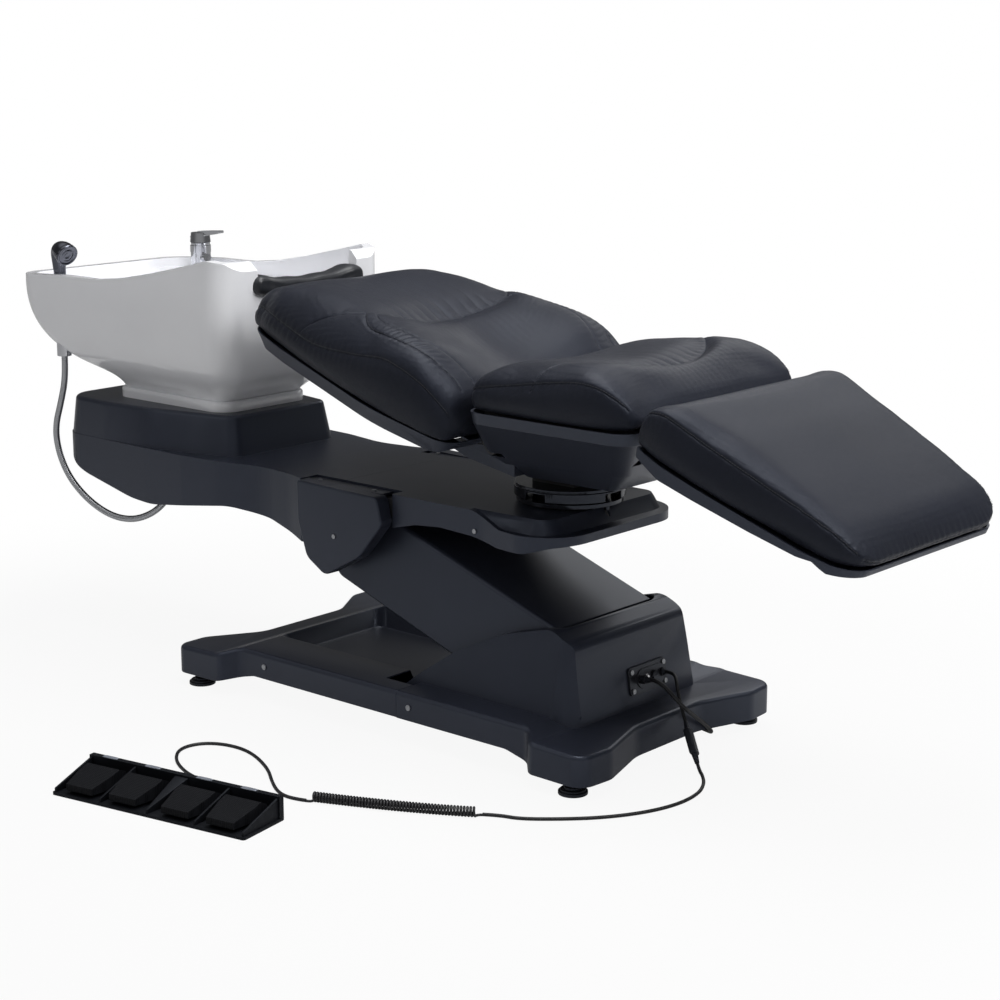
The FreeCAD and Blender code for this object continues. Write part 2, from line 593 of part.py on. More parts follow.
# Level link: keeps the carriage flat, with an eased hole at its upper pin
link_low = -S.bracket_side + S.bracket_thick / 2 + S.play * 2
link = strap([(0, 0), (-arm_run, 0)], S.link_half, link_low, link_low + S.link_thick)
for x in (0, -arm_run):
    link = link.fuse(pin(S.link_pin * 1.9, x, 0, link_low, link_low + S.link_thick))
link = link.cut(pin(S.link_pin + S.fit, 0, 0, -S.bracket_side * 2, 0))
link = link.cut(pin(S.link_pin + S.play, -arm_run, 0, -S.bracket_side * 2, 0))
solid("level_link", turned(link.removeSplitter(), S.pivot_x, S.pivot_z + S.link_rise, arm_angle))

# Carriage: side rails past the arm, inner rails fore and aft, cross members and pivot ears
carriage = []
waist, throat = "carry_x * 1.8", "swivel_x - ring_radius * 0.8"
for sign in ("", "-"):
    for y, x0, x1 in (("rail_y", "carry_x * 2", throat), ("spine_y", "carriage_back", waist),
                      ("spine_y", "carriage_front * 0.02", "carriage_front")):
        y = sign + y
        carriage.append(block(x0, x1, f"{y} - rail_thick / 2", f"{y} + rail_thick / 2", "carriage_low",
                              "carriage_high"))
    y = f"{sign}rail_y"
    carriage.append(block("carry_x - ear_thick * 2.4", "carry_x + ear_thick * 2.4",
                          f"{y} - ear_thick / 2", f"{y} + ear_thick / 2", "carry_z - pin_radius * 2",
                          "carriage_low + fit"))
cross_places = (("carriage_back + rail_thick", "spine_y"), ("drain_x + ring_radius * 1.3", "spine_y"),
                ("carry_x * 2", "rail_y"), ("carriage_front * 0.02", "rail_y"), (throat, "spine_y"),
                ("swivel_x + ring_radius * 0.45", "spine_y"))
for place, reach in cross_places:
    carriage.append(block(place, f"{place} + rail_thick * 1.7", f"-{reach}", reach,
                          "carriage_low", "carriage_high"))
for px in ("drain_x - post_side * 3", "drain_x + ring_radius * 1.3"):
    for sign in ("", "-"):
        y = f"{sign}ring_bore * 1.2"
        carriage.append(block(px, f"{px} + post_side", f"{y} - post_side / 2", f"{y} + post_side / 2",
                              "carriage_low", "pedestal_top - cover_wall - running"))
carriage.append(block("drain_x - post_side * 3", "drain_x - post_side * 2", "-spine_y", "spine_y",
                      "carriage_low", "carriage_high"))
carriage.append(block(throat, "carriage_front", "-plateau_half * 0.9", "plateau_half * 0.9",
                      "carriage_high", "carriage_high + plate_thick"))
carriage.append(rod("pin_radius", "rail_y - bar_side + bar_thick * 0.75", "carry_x",
                    "bar_side - bar_thick * 0.75", "carry_z", "y"))
carriage.append(rod("pin_radius", "rail_y - bracket_side + bracket_thick * 1.1", "carry_x", "-rail_y",
                    "carry_z", "y"))
carriage.append(rod("link_pin", "bracket_thick * 1.1 + link_thick + play * 3", "carry_x",
                    "-bracket_side - bracket_thick * 0.6", "carry_z + link_rise", "y"))
carriage.append(block("carry_x - link_pin * 1.5", "carry_x + link_pin * 1.5",
                      "-bracket_side - bracket_thick * 1.1", "-bracket_side + bracket_thick / 2",
                      "carry_z - pin_radius * 1.2", "carry_z + link_rise + link_pin * 1.5"))
node("carriage_frame", fuse(*carriage))


# Platform covers: a deck with flared flanks, split at a seam, hollow below
rear_plan_shares = [
    (-1.002, 0, 0.35), (-1.002, -0.95, 0.37), (-0.842, -0.98, 1.5), (-0.713, -1, 1.5),
    (-0.594, -1.01, 1.5), (-0.495, -0.97, 1.5), (-0.386, -0.85, 1), (-0.297, -0.91, 1),
    (-0.251, -0.98, 0.02), (-0.251, 0, 0.02),
]
rear_side_shares = [
    (-1.03, 1, 0.004), (-1.03, 0.922, 0.045), (-0.975, 0.881, 0.134), (-0.926, 0.823, 0.447),
    (-0.76, 0.745, 0.671), (-0.693, 0.736, 0.447), (-0.473, 0.799, 0.447), (-0.362, 0.772, 0.447),
    (-0.238, 0.707, 0.004), (-0.238, 1, 0.004),
]
pedestal_top_shares = [
    (-0.98, 0, 0.35), (-0.98, -0.94, 0.32), (-0.842, -0.965, 1.5), (-0.713, -0.9, 1.5),
    (-0.594, -0.76, 1.5), (-0.507, -0.67, 0.125), (-0.507, 0, 0.02),
]
pedestal_low_shares = [
    (-1.002, 0, 0.35), (-1.002, -0.95, 0.37), (-0.842, -0.98, 1.5), (-0.713, -0.99, 1.5),
    (-0.594, -0.88, 1.5), (-0.489, -0.73, 0.17), (-0.489, 0, 0.02),
]
rear_scale = (S.rear_reach, S.rear_half, S.rear_half)


def ring(table, z, inset=0):
    """Mirrored plan wire, drawn in by an inset."""
    wire = plan([e for e in table if e[1] != 0], z)
    return Part.Face(wire).makeOffset2D(-inset).OuterWire if inset else wire


def flank(table, line, inset, drop):
    """Deck block: plan outline met by a side outline."""
    body = Part.Face(ring(table, 0, inset)).extrude(V(0, 0, 2 * S.deck))
    points = [(x, z - drop if z == S.deck else z - inset * 30, r) for x, z, r in line]
    return body.common(Part.Face(side(points, -2 * S.rear_half)).extrude(V(0, 4 * S.rear_half, 0)))


rear_plan = scaled(rear_plan_shares, *rear_scale)
rear_line = scaled(rear_side_shares, S.rear_reach, S.deck, S.deck)
top_ring = scaled(pedestal_top_shares, *rear_scale)
low_ring = scaled(pedestal_low_shares, *rear_scale)
wall = S.cover_wall
rear_deck = flank(rear_plan, rear_line, 0, 0)
pedestal = Part.makeLoft([ring(low_ring, S.deck - S.cover_round * 2), ring(top_ring, S.pedestal_top)], True,
                         True)
pedestal_rim = edges_where(pedestal, lambda e: e.BoundBox.ZMin > S.pedestal_top - S.fit)
pedestal = pedestal.makeFillet(S.cover_round, pedestal_rim)
rear_body = rear_deck.fuse(pedestal)
rear_body = rear_body.cut(flank(rear_plan, rear_line, wall, wall))
pocket_low = ring(low_ring, S.deck - S.cover_round * 2, wall)
pocket_top = ring(top_ring, S.pedestal_top - wall, wall)
rear_body = rear_body.cut(Part.makeLoft([pocket_low, pocket_top], True, True))
pass_half = S.rail_y + S.rail_thick / 2 + S.play * 2
passage = Part.makeBox(S.deck, 2 * pass_half, S.deck - wall,
                       V(-S.rear_reach * 0.2525 - wall * 1.5, -pass_half, 0))
rear_body = rear_body.cut(passage)
strip_back = -S.rear_reach * 0.2525
strip = Part.makeBox(S.seam_deck - S.seam_gap - strip_back, 2 * S.notch_half, wall * 3.5,
                     V(strip_back, -S.notch_half, S.deck - wall * 3.5))
strip = strip.cut(Part.makeBox(S.rear_reach, 2 * (S.notch_half - wall), wall * 3,
                               V(strip_back - S.overrun, -S.notch_half + wall, S.deck - wall * 4)))
rear_body = rear_body.fuse(strip)
rear_body = rear_body.cut(Part.makeCylinder(S.drain_radius * 1.3, S.deck, V(S.drain_x, 0, S.deck)))
hose_way = Part.makeBox(1.6 * S.tap_radius, 2.7 * S.hose_radius, wall * 3,
                        V(S.tap_x - 0.8 * S.tap_radius, S.tap_y - 1.35 * S.hose_radius,
                          S.pedestal_top - wall * 2))
solid("rear_cover", rear_body.cut(hose_way).removeSplitter())

lip_plan_shares = [
    (-0.057, -1, 0.017), (0.528, -1, 0.663), (0.76, -1.088, 0.442), (1, -1.044, 0.497),
]
lip_side_shares = [
    (-0.077, 1, 0.004), (0.464, 1, 0.134), (0.644, 0.942, 0.134), (1.031, 0.942, 0.004),
    (1.031, 0.908, 0.004), (0.928, 0.899, 0.089), (0.799, 0.868, 0.134), (0.634, 0.866, 0.179),
    (0.464, 0.89, 0.224), (0.258, 0.899, 0.224), (0.103, 0.888, 0.134), (-0.077, 0.85, 0.004),
]
plateau_shares = [
    (0.387, -0.95, 0.044), (0.894, -0.928, 0.199),
]
shoulder_shares = [
    (0.387, -0.983, 0.044), (0.933, -1, 0.298),
]


def front_ring(table, z, inset=0):
    points = scaled(table, S.front_reach, S.front_half, S.front_half)
    wire = plan(points, z)
    return Part.Face(wire).makeOffset2D(-inset).OuterWire if inset else wire


def front_flank(inset):
    body = Part.Face(front_ring(lip_plan_shares, 0, inset)).extrude(V(0, 0, 2 * S.deck))
    line = scaled(lip_side_shares, S.front_reach, S.deck, S.deck)
    points = [(x, z - inset if i < 4 else z - inset * 30, r) for i, (x, z, r) in enumerate(line)]
    return body.common(Part.Face(side(points, -2 * S.rear_half)).extrude(V(0, 4 * S.rear_half, 0)))


lip = front_flank(0)
plateau = Part.makeLoft([front_ring(shoulder_shares, S.lip_top),
                         front_ring(plateau_shares, S.deck - wall * 1.5),
                         front_ring(plateau_shares, S.deck - S.fit, wall)], True, True)
front_body = lip.fuse(plateau).cut(front_flank(wall))
front_body = front_body.cut(Part.makeLoft([front_ring(shoulder_shares, S.lip_top - wall * 3, wall),
                                           front_ring(plateau_shares, S.deck - wall, wall)], True, True))
front_body = front_body.cut(Part.makeBox(S.seam_place, 2 * (S.front_half - wall), S.deck - wall,
                                          V(-S.seam_place, -S.front_half + wall, 0)))
neck = Part.makeBox(S.front_half - S.seam_deck - S.front_half * 1.08, 2 * S.notch_half, wall * 3.5,
                    V(S.seam_deck, -S.notch_half, S.deck - wall * 3.5))
neck = neck.cut(Part.makeBox(S.rear_reach, 2 * (S.notch_half - wall), wall * 3,
                             V(S.seam_deck - S.overrun, -S.notch_half + wall, S.deck - wall * 4)))
front_body = front_body.fuse(neck)
front_body = front_body.cut(Part.makeCylinder(S.ring_bore * 0.6, S.deck,
                                              V(S.swivel_x, 0, S.lip_top - wall * 3)))
stud_count = 6
stud_share = 0.87
for k in range(stud_count):
    turn = 2 * math.pi * k / stud_count
    spot = V(S.swivel_x + S.ring_radius * stud_share * math.cos(turn),
             S.ring_radius * stud_share * math.sin(turn), S.lip_top)
    front_body = front_body.cut(Part.makeCylinder(S.stud_radius + S.play, S.deck, spot))
solid("front_cover", front_body.removeSplitter())

# Pivot covers: dished caps over the upper pivots, with a strip along the deck edge
pivot_shares = [
    (-1.68, 1.342), (-0.24, 1.327), (-0.16, 1.171), (-0.567, 0.955), (-1.187, 0.802), (-1.52, 0.892),
    (-1.673, 1.102),
]
pivot_round_shares = [0.04, 0.1, 0.14, 0.5, 0.16, 0.2, 0.3]


def pivot_outline(y):
    points = scaled(pivot_shares, -S.carry_x, S.carry_z)
    return side([(x, z, r * -S.carry_x) for (x, z), r in zip(points, pivot_round_shares)], y)


screw_spots = []
for sign, name in ((-1, "pivot_cover_near"), (1, "pivot_cover_far")):
    inner, outer = sign * S.pivot_cover_in, sign * S.pivot_cover_out
    face = Part.Face(pivot_outline(inner))
    cap = face.extrude(V(0, outer - inner, 0))
    crown = edges_where(cap, lambda e: e.BoundBox.YLength < S.fit and abs(e.CenterOfMass.y - outer) < S.fit)
    cap = cap.makeFillet(wall, crown)
    cap = cap.cut(face.makeOffset2D(-wall).extrude(V(0, outer - inner - sign * wall, 0)))
    strip_y = sign * (S.notch_half + S.play * 2)
    low_y = min(strip_y, sign * (S.pivot_cover_in + wall))
    strap_top = Part.makeBox(-S.carry_x * 1.32, abs(sign * (S.pivot_cover_in + wall) - strip_y), wall,
                             V(S.carry_x * 1.64, low_y, S.carry_z * 1.326 - wall * 0.6))
    cap = cap.fuse(strap_top)
    solid(name, cap.removeSplitter())
    spots = [(S.carry_x * 1.5, sign * (S.rail_y + wall), S.carry_z * 1.326 + wall * 0.4, V(0, 0, 1)),
             (S.carry_x * 0.53, sign * (S.rail_y + wall), S.carry_z * 1.326 + wall * 0.4, V(0, 0, 1)),
             (S.carry_x, outer, S.carry_z * 1.05, V(0, sign, 0)),
             (S.front_reach * 0.48, sign * S.front_half, S.deck * 0.913, V(0, sign, 0))]
    screw_spots += [Part.makeCylinder(S.screw_radius * 0.8, S.screw_radius * 0.4, V(*s[:3]), s[3])
                    for s in spots]
solid("cover_screws", Part.makeCompound(screw_spots))

# Bowl: a lofted ceramic body with a cast hollow between its outside and its basin
bowl_shares = [
    (-0.813, -0.517, 0.509, 0.64), (-0.873, -0.452, 0.746, 0.701), (-0.965, -0.411, 0.925, 0.771),
    (-0.993, -0.398, 0.987, 0.832), (-1, -0.39, 1.004, 0.923), (-1, -0.386, 1.004, 1.028),
]
void_shares = [
    (-0.864, -0.465, 0.658, 0.724), (-0.947, -0.428, 0.833, 0.78), (-0.98, -0.41, 0.912, 0.869),
]
basin_shares = [
    (-0.735, -0.561, 0.307, 0.708), (-0.789, -0.487, 0.561, 0.748), (-0.824, -0.428, 0.789, 0.818),
    (-0.832, -0.414, 0.868, 0.9),
]
rim_shares = [
    (-1.103, 0.916), (-0.965, 0.918), (-0.855, 0.925), (-0.763, 0.925), (-0.68, 0.935), (-0.588, 0.956),
    (-0.496, 0.981), (-0.438, 0.998), (-0.404, 0.992), (-0.382, 0.965), (-0.349, 0.888),
]
corner_share = 0.26


def bowl_loft(table, grow=0, ruled=False):
    wires = []
    for (x0, x1, half, z), d in zip(table, [1] + [0] * len(table)):
        x0, x1, half, z = (v * b for v, b in zip((x0, x1, half, z),
                                                 (-S.bowl_back, -S.bowl_back, S.bowl_half, S.rim_high)))
        wires.append(frame4(x0 - grow, x1 + grow, half + grow, half * corner_share + grow, z - grow * d))
    return Part.makeLoft(wires, True, ruled)


bowl = bowl_loft(bowl_shares)
plinth = Part.Face(frame4(-S.bowl_back * -0.827, -S.bowl_back * -0.504, S.bowl_half * 0.548,
                          S.bowl_half * 0.2,
                          S.pedestal_top)).extrude(V(0, 0, S.bowl_wall * 0.9))
plinth_rim = edges_where(plinth, lambda e: e.BoundBox.ZMin > S.pedestal_top + S.bowl_wall * 0.8)
plinth = plinth.makeFillet(S.bowl_wall * 0.3, plinth_rim)
bowl = bowl.fuse(plinth)
rim = [V(x * -S.bowl_back, -2 * S.bowl_half, z * S.rim_high) for x, z in rim_shares]
sky = [V(rim[-1].x, rim[0].y, 2 * S.rim_high), V(rim[0].x, rim[0].y, 2 * S.rim_high)]
rim_radii = [1] + [S.bowl_half * 0.6] * 6 + [S.bowl_half * 0.06] * 3 + [1, 1, 1]
bowl = bowl.cut(Part.Face(rounded(rim + sky, rim_radii)).extrude(V(0, 4 * S.bowl_half, 0)))
lip_in = S.bowl_wall * 0.9
pool = Part.Face(frame4(S.bowl_back + lip_in, S.bowl_front - lip_in, S.bowl_half - lip_in, S.bowl_half * 0.18,
                        S.bowl_deck)).extrude(V(0, 0, S.bowl_deck))
basin = bowl_loft(basin_shares)
bowl = bowl.cut(pool)
bowl = bowl.cut(bowl_loft(void_shares).cut(bowl_loft(basin_shares, S.bowl_wall * 0.6)))
bowl = bowl.cut(basin)
notch_points = [V(S.bowl_front * 1.15, -S.notch_wide * 1.15, S.rim_high * 1.1),
                V(S.bowl_front * 1.15, -S.notch_wide, S.notch_low),
                V(S.bowl_front * 1.15, S.notch_wide, S.notch_low),
                V(S.bowl_front * 1.15, S.notch_wide * 1.15, S.rim_high * 1.1)]
notch = Part.Face(rounded(notch_points, [1, S.notch_wide * 0.3, S.notch_wide * 0.3, 1]))
bowl = bowl.cut(notch.extrude(V(-S.bowl_front * 0.3, 0, 0)))
bowl = bowl.cut(Part.makeCylinder(S.drain_radius, S.rim_high, V(S.drain_x, 0, S.pedestal_top - S.overrun)))
bowl = bowl.cut(Part.makeCylinder(S.tap_radius * 0.7, S.rim_high,
                                  V(S.tap_x, S.tap_y, S.pedestal_top - S.overrun)))
bowl = bowl.cut(Part.makeCylinder(S.shower_radius + S.play * 4, S.rim_high,
                                  V(S.shower_x, S.shower_y, S.pedestal_top - S.overrun)))
solid("bowl", bowl.removeSplitter())


# Drain: a slotted strainer through the bowl, and a trap with its outlet below
basin_low = basin_shares[0][3] * S.rim_high
tail_top = S.pedestal_top - S.bowl_wall
strainer = Part.makeCylinder(S.drain_radius * 1.4, S.pedal_wall, V(S.drain_x, 0, basin_low))
strainer = strainer.fuse(Part.makeCylinder(S.drain_radius - S.running, basin_low - tail_top,
                                           V(S.drain_x, 0, tail_top)))
strainer = strainer.cut(Part.makeCylinder(S.drain_radius * 0.86, basin_low - tail_top,
                                          V(S.drain_x, 0, tail_top - S.play)))
hole_count = 8
for i in range(hole_count):
    a = 2 * math.pi * i / hole_count
    spot = V(S.drain_x + S.drain_radius * 0.5 * math.cos(a), S.drain_radius * 0.5 * math.sin(a), tail_top)
    strainer = strainer.cut(Part.makeCylinder(S.drain_radius * 0.13, S.rim_high, spot))
solid("drain_strainer", strainer)
trap_share = 0.72
trap = Part.makeCylinder(S.drain_radius * 1.5, tail_top - S.carriage_low, V(S.drain_x, 0, S.carriage_low))
trap = trap.fuse(Part.makeCylinder(S.drain_radius * 0.91, S.carriage_low - S.deck * trap_share,
                                   V(S.drain_x, 0, S.deck * trap_share + S.post_side)))
trap = trap.cut(Part.makeCylinder(S.drain_radius * 0.76, S.deck, V(S.drain_x, 0, S.deck * trap_share)))
solid("drain_tail", trap)

# Tap: a pillar body with inlet tails below the deck, a turning cartridge and a lifting lever
def pillar(rings, x, y):
    made = None
    for radius, z0, z1 in rings:
        disc = Part.makeCylinder(radius, z1 - z0, V(x, y, z0))
        made = disc if made is None else made.fuse(disc)
    return made


tap_top = S.bowl_deck + S.tap_high
tap = pillar([(S.tap_radius * 1.08, S.bowl_deck, S.bowl_deck + S.tap_high * 0.1),
              (S.tap_radius * 0.96, S.bowl_deck, tap_top - S.tap_high * 0.16),
              (S.tap_radius, tap_top - S.tap_high * 0.26, tap_top),
              (S.tap_radius * 0.62, S.bowl_deck - S.tap_high * 2.2, S.bowl_deck)], S.tap_x, S.tap_y)
tail_low = S.bowl_deck - S.tap_high * 2.2
for sign in (1, -1):
    x = S.tap_x + sign * S.tap_radius * 0.36
    tap = tap.fuse(Part.makeCylinder(S.hose_radius, S.tap_high * 0.5,
                                     V(x, S.tap_y, tail_low - S.tap_high * 0.5)))
spout = Part.makeCylinder(S.tap_radius * 0.4, S.tap_radius * 1.9,
                          V(S.tap_x, S.tap_y, tap_top - S.tap_high * 0.5), V(1, -0.4, 0.12))
solid("tap_body", tap.fuse(spout).removeSplitter())
cap_low = tap_top + S.fit * 4
cartridge = pillar([(S.tap_radius * 0.92, cap_low, cap_low + S.tap_high * 0.1),
                    (S.tap_radius * 0.5, cap_low, cap_low + S.tap_high * 0.26)], S.tap_x, S.tap_y)
solid("tap_cartridge", cartridge.removeSplitter())
hood_low = cap_low + S.tap_high * 0.12
lever_x, lever_z = S.tap_x - S.tap_radius * 0.5, hood_low + S.tap_high * 0.2
hood = Part.makeCone(S.tap_radius, S.tap_radius * 0.9, S.tap_high * 0.36, V(S.tap_x, S.tap_y, hood_low))
hood = hood.cut(Part.makeCylinder(S.tap_radius * 0.8, S.tap_high * 0.24,
                                  V(S.tap_x, S.tap_y, hood_low - S.fit)))
heel = Part.makeBox(6 * S.tap_radius, 4 * S.tap_radius, S.tap_high,
                    V(lever_x - 3 * S.tap_radius, S.tap_y - 2 * S.tap_radius, hood_low - S.tap_high))
heel.rotate(V(lever_x, S.tap_y, lever_z), V(0, 1, 0), S.lever_range)
hood = hood.cut(heel)
hood = hood.fuse(pin(S.lever_pin, lever_x, lever_z, S.tap_y - S.tap_radius * 0.8,
                     S.tap_y + S.tap_radius * 0.8))
lever_points = [V(S.tap_x, 0, hood_low + S.tap_high * 0.22),
                V(S.tap_x + S.tap_radius * 1.6, 0, hood_low + S.tap_high * 0.3),
                V(S.tap_x + S.tap_radius * 3, 0, hood_low + S.tap_high * 0.4),
                V(S.tap_x + S.tap_radius * 3, 0, hood_low + S.tap_high * 0.5),
                V(S.tap_x + S.tap_radius * 1.4, 0, hood_low + S.tap_high * 0.46),
                V(S.tap_x, 0, hood_low + S.tap_high * 0.42)]
blade = Part.Face(rounded(lever_points, [S.play, S.tap_radius, S.play, S.play, S.tap_radius, S.play]))
blade = blade.extrude(V(0, S.tap_radius * 0.7, 0))
blade.translate(V(0, S.tap_y - S.tap_radius * 0.35, 0))
solid("tap_lever", hood.fuse(blade).removeSplitter())

# Hand shower resting in a sleeve through the bowl's rear deck
sleeve_low = basin_low + S.play * 6
tube = pillar([(S.sleeve_radius, S.bowl_deck, S.bowl_deck + S.play * 5),
               (S.shower_radius + S.play * 3.4, sleeve_low, S.bowl_deck)], S.shower_x, S.shower_y)
tube = tube.cut(Part.makeCylinder(S.shower_radius + S.running, S.rim_high,
                                  V(S.shower_x, S.shower_y, sleeve_low + S.play * 4)))
tube = tube.cut(Part.makeCylinder(S.hose_bore, S.rim_high, V(S.shower_x, S.shower_y, sleeve_low - S.play)))
solid("shower_sleeve", tube.removeSplitter())
grip_low = S.bowl_deck - S.shower_radius * 7
stem_top = S.bowl_deck + S.shower_radius * 4
hand = pillar([(S.shower_radius, grip_low, S.bowl_deck + S.shower_radius * 0.5),
               (S.hose_bore * 1.5, sleeve_low + S.play * 5, grip_low)], S.shower_x, S.shower_y)
neck_shape = Part.makeCone(S.shower_radius * 0.92, S.shower_radius * 1.1, S.shower_radius * 4.8,
                           V(S.shower_x, S.shower_y, S.bowl_deck + S.shower_radius * 0.45), V(0.12, 0, 1))
head_axis = V(1, -0.12, -0.55).normalize()
head_back = V(S.shower_x - S.shower_radius * 0.3, S.shower_y, stem_top + S.shower_radius * 1.6)
head = Part.makeCone(S.shower_radius * 1.25, S.shower_radius * 2, S.shower_radius * 2.6, head_back, head_axis)
head = head.fuse(Part.makeCylinder(S.shower_radius * 2.05, S.shower_radius * 0.9,
                                   head_back + head_axis * (S.shower_radius * 2.5), head_axis))
head = head.fuse(Part.makeCone(S.shower_radius * 0.8, S.shower_radius * 1.25, S.shower_radius * 0.5,
                               head_back - head_axis * (S.shower_radius * 0.5), head_axis))
solid("hand_shower", hand.fuse([neck_shape, head]).removeSplitter())


def bent(points, radii=None, sharp_share=0.45):
    """Path of straight runs joined by arcs through route points, with its arc radii."""
    marks, used = [], []
    for i in range(1, len(points) - 1):
        a, p, b = points[i - 1], points[i], points[i + 1]
        turn = (p - a).getAngle(b - p)
        short = min((p - a).Length, (b - p).Length)
        radius = radii[i - 1] if radii else sharp_share * short / math.tan(turn / 2)
        reach = radius * math.tan(turn / 2)
        u, v = (a - p).normalize(), (b - p).normalize()
        middle = (u + v).normalize()
        centre = p + middle * (radius / math.cos(turn / 2))
        marks.append((p + u * reach, centre - middle * radius, p + v * reach))
        used.append(radius)
    edges, here = [], points[0]
    for start, mid, end in marks:
        edges.append(Part.LineSegment(here, start).toShape())
        edges.append(Part.Arc(start, mid, end).toShape())
        here = end
    edges.append(Part.LineSegment(here, points[-1]).toShape())
    return Part.Wire(edges), used


def tube_along(name, points, radius, radii=None):
    """Round cord swept along its route, with its arcs printed."""
    wire, used = bent(points, radii)
    start = wire.Edges[0]
    ring_wire = Part.Wire([Part.makeCircle(radius, points[0], start.tangentAt(start.FirstParameter))])
    swept = wire.makePipeShell([ring_wire], True, False)
    ideal = math.pi * radius ** 2 * wire.Length
    print(name, "length", round(wire.Length), "radii", [round(r) for r in used],
          "volume against section times length", round(swept.Volume / ideal, 4))
    return swept


# Braided shower hose: a ribbed loft along its hanging curve, with its bore
hose_route = [V(S.shower_x, S.shower_y, sleeve_low), V(S.shower_x, S.shower_y, 566), V(-994, -193, 512),
              V(-1012, -198, 455),
             V(-1009, -195, 402),
             V(-985, -191, 352), V(-944, -186, 314), V(-892, -181, 287), V(-836, -177, 275),
             V(-782, -168, 279),
             V(-738, -150, 302), V(-708, -136, 342),
             V(S.drain_x + S.spine_y * 0.3, -S.spine_y, S.carriage_low - S.play * 1.6)]
hose_wire, hose_radii = bent(hose_route)


def along(wire, count):
    """Evenly spaced points and directions along a wire."""
    total = wire.Length
    marks, base, edges = [], 0.0, wire.OrderedEdges
    lengths = [e.Length for e in edges]
    for i in range(count + 1):
        want = total * i / count
        k, gone = 0, 0.0
        while k < len(edges) - 1 and gone + lengths[k] < want:
            gone += lengths[k]
            k += 1
        e = edges[k]
        t = e.getParameterByLength(min(want - gone, lengths[k]))
        marks.append((e.valueAt(t), e.tangentAt(t)))
    return marks


def hoop(radius, point, way):
    """Circle across a direction, its X axis kept steady."""
    circle = Part.Circle(FreeCAD.Vector(point), FreeCAD.Vector(way), radius)
    circle.XAxis = (V(0, 1, 0) - way * way.y).normalize()
    return Part.Wire([circle.toShape()])


rib_count = min(198, int(hose_wire.Length / S.rib_pitch))
marks = along(hose_wire, rib_count * 4)
hoops = []
for i, (point, way) in enumerate(marks):
    plain = i < 6 or i > rib_count * 4 - 6
    low = plain or i % 4 in (0, 1)
    hoops.append(hoop(S.hose_radius - (S.rib_deep if low else 0), point, way))
hose = Part.makeLoft(hoops, True, True)
bore_ring = hoop(S.hose_bore, *marks[0])
hose_bore = hose_wire.makePipeShell([bore_ring], True, False)
hose = hose.cut(hose_bore)
print("shower hose length", round(hose_wire.Length), "ribs", rib_count, "radii",
      [round(r) for r in hose_radii])
solid("shower_hose", hose)

# Neck rest: a rubber saddle over the bowl's notch
saddle_shares = [
    (-0.907, 1.068), (-0.813, 1.057), (-0.72, 1.022), (-0.4, 1.014), (0, 1.024), (0.4, 1.014),
    (0.72, 1.022), (0.813, 1.057), (0.907, 1.068), (1, 1.057),
]
saddle_top = [(y * S.neck_half, z * S.notch_low) for y, z in saddle_shares[:9]]
rest_x = S.neck_x - S.bowl_wall
low_gap = S.running
saddle_low = [(S.notch_wide * 1.025, S.notch_low + S.neck_thick * 4.2),
              (S.notch_wide * 0.985 - low_gap, S.notch_low + low_gap),
              (-S.notch_wide * 0.985 + low_gap, S.notch_low + low_gap),
              (-S.notch_wide * 1.025, S.notch_low + S.neck_thick * 4.2)]
saddle = [V(rest_x, y, z) for y, z in saddle_top + saddle_low]
saddle_radii = [3, 20, 18, 60, 60, 60, 18, 20, 3, 4, S.notch_wide * 0.3, S.notch_wide * 0.3, 4]
saddle_radii = [r * S.neck_half / 150 for r in saddle_radii[:10]] + saddle_radii[10:12] + [4]
saddle_shape = Part.Face(rounded(saddle, saddle_radii)).extrude(V(S.bowl_wall * 2.1, 0, 0))
solid("neck_rest", saddle_shape)

# Swivel: a lower ring on studs, bearing tabs, and an upper plate that turns with the seat
ring_top = "ring_low + ring_thick"
lower = cut(rod("ring_radius", "ring_thick", "swivel_x", "0", "ring_low"),
            rod("ring_bore", "ring_thick * 3", "swivel_x", "0", "ring_low - ring_thick"))
collar = cut(rod("ring_bore + ring_thick", "ring_gap - running", "swivel_x", "0", "ring_low"),
             rod("ring_bore", "ring_gap * 3", "swivel_x", "0", "ring_low - ring_gap"))
stud_set = []
for k in range(6):
    turn = 2 * math.pi * k / 6
    stud_set.append(rod("stud_radius", "ring_low + ring_thick * 1.4 - carriage_high - plate_thick",
                        f"swivel_x + ring_radius * 0.87 * {math.cos(turn):.4f}",
                        f"ring_radius * 0.87 * {math.sin(turn):.4f}", "carriage_high + plate_thick"))
node("swivel_lower_ring", fuse(lower, collar, *stud_set))
upper_low = "ring_low + ring_gap"
upper = [cut(rod("ring_radius * 1.02", "plate_thick", "swivel_x", "0", upper_low),
             rod("ring_bore * 0.5", "plate_thick * 3", "swivel_x", "0", f"{upper_low} - plate_thick"))]
upper_ring = cut(rod("ring_radius * 1.04", "ring_gap * 0.62", "swivel_x", "0",
                     f"{upper_low} - ring_gap * 0.62"),
                 rod("ring_radius * 0.97", "ring_gap * 3", "swivel_x", "0", f"{upper_low} - ring_gap"))
window = [block("swivel_x - tab_wide / 2", "swivel_x + tab_wide / 2", "-ring_radius * 2", "ring_radius * 2",
                f"{upper_low} - ring_gap", f"{upper_low} - ring_gap * 0.12"),
          block("swivel_x - ring_radius * 2", "swivel_x + ring_radius * 2", "-tab_wide / 2", "tab_wide / 2",
                f"{upper_low} - ring_gap", f"{upper_low} - ring_gap * 0.12")]
upper.append(cut(upper_ring, *window))
node("swivel_upper_plate", fuse(*upper))


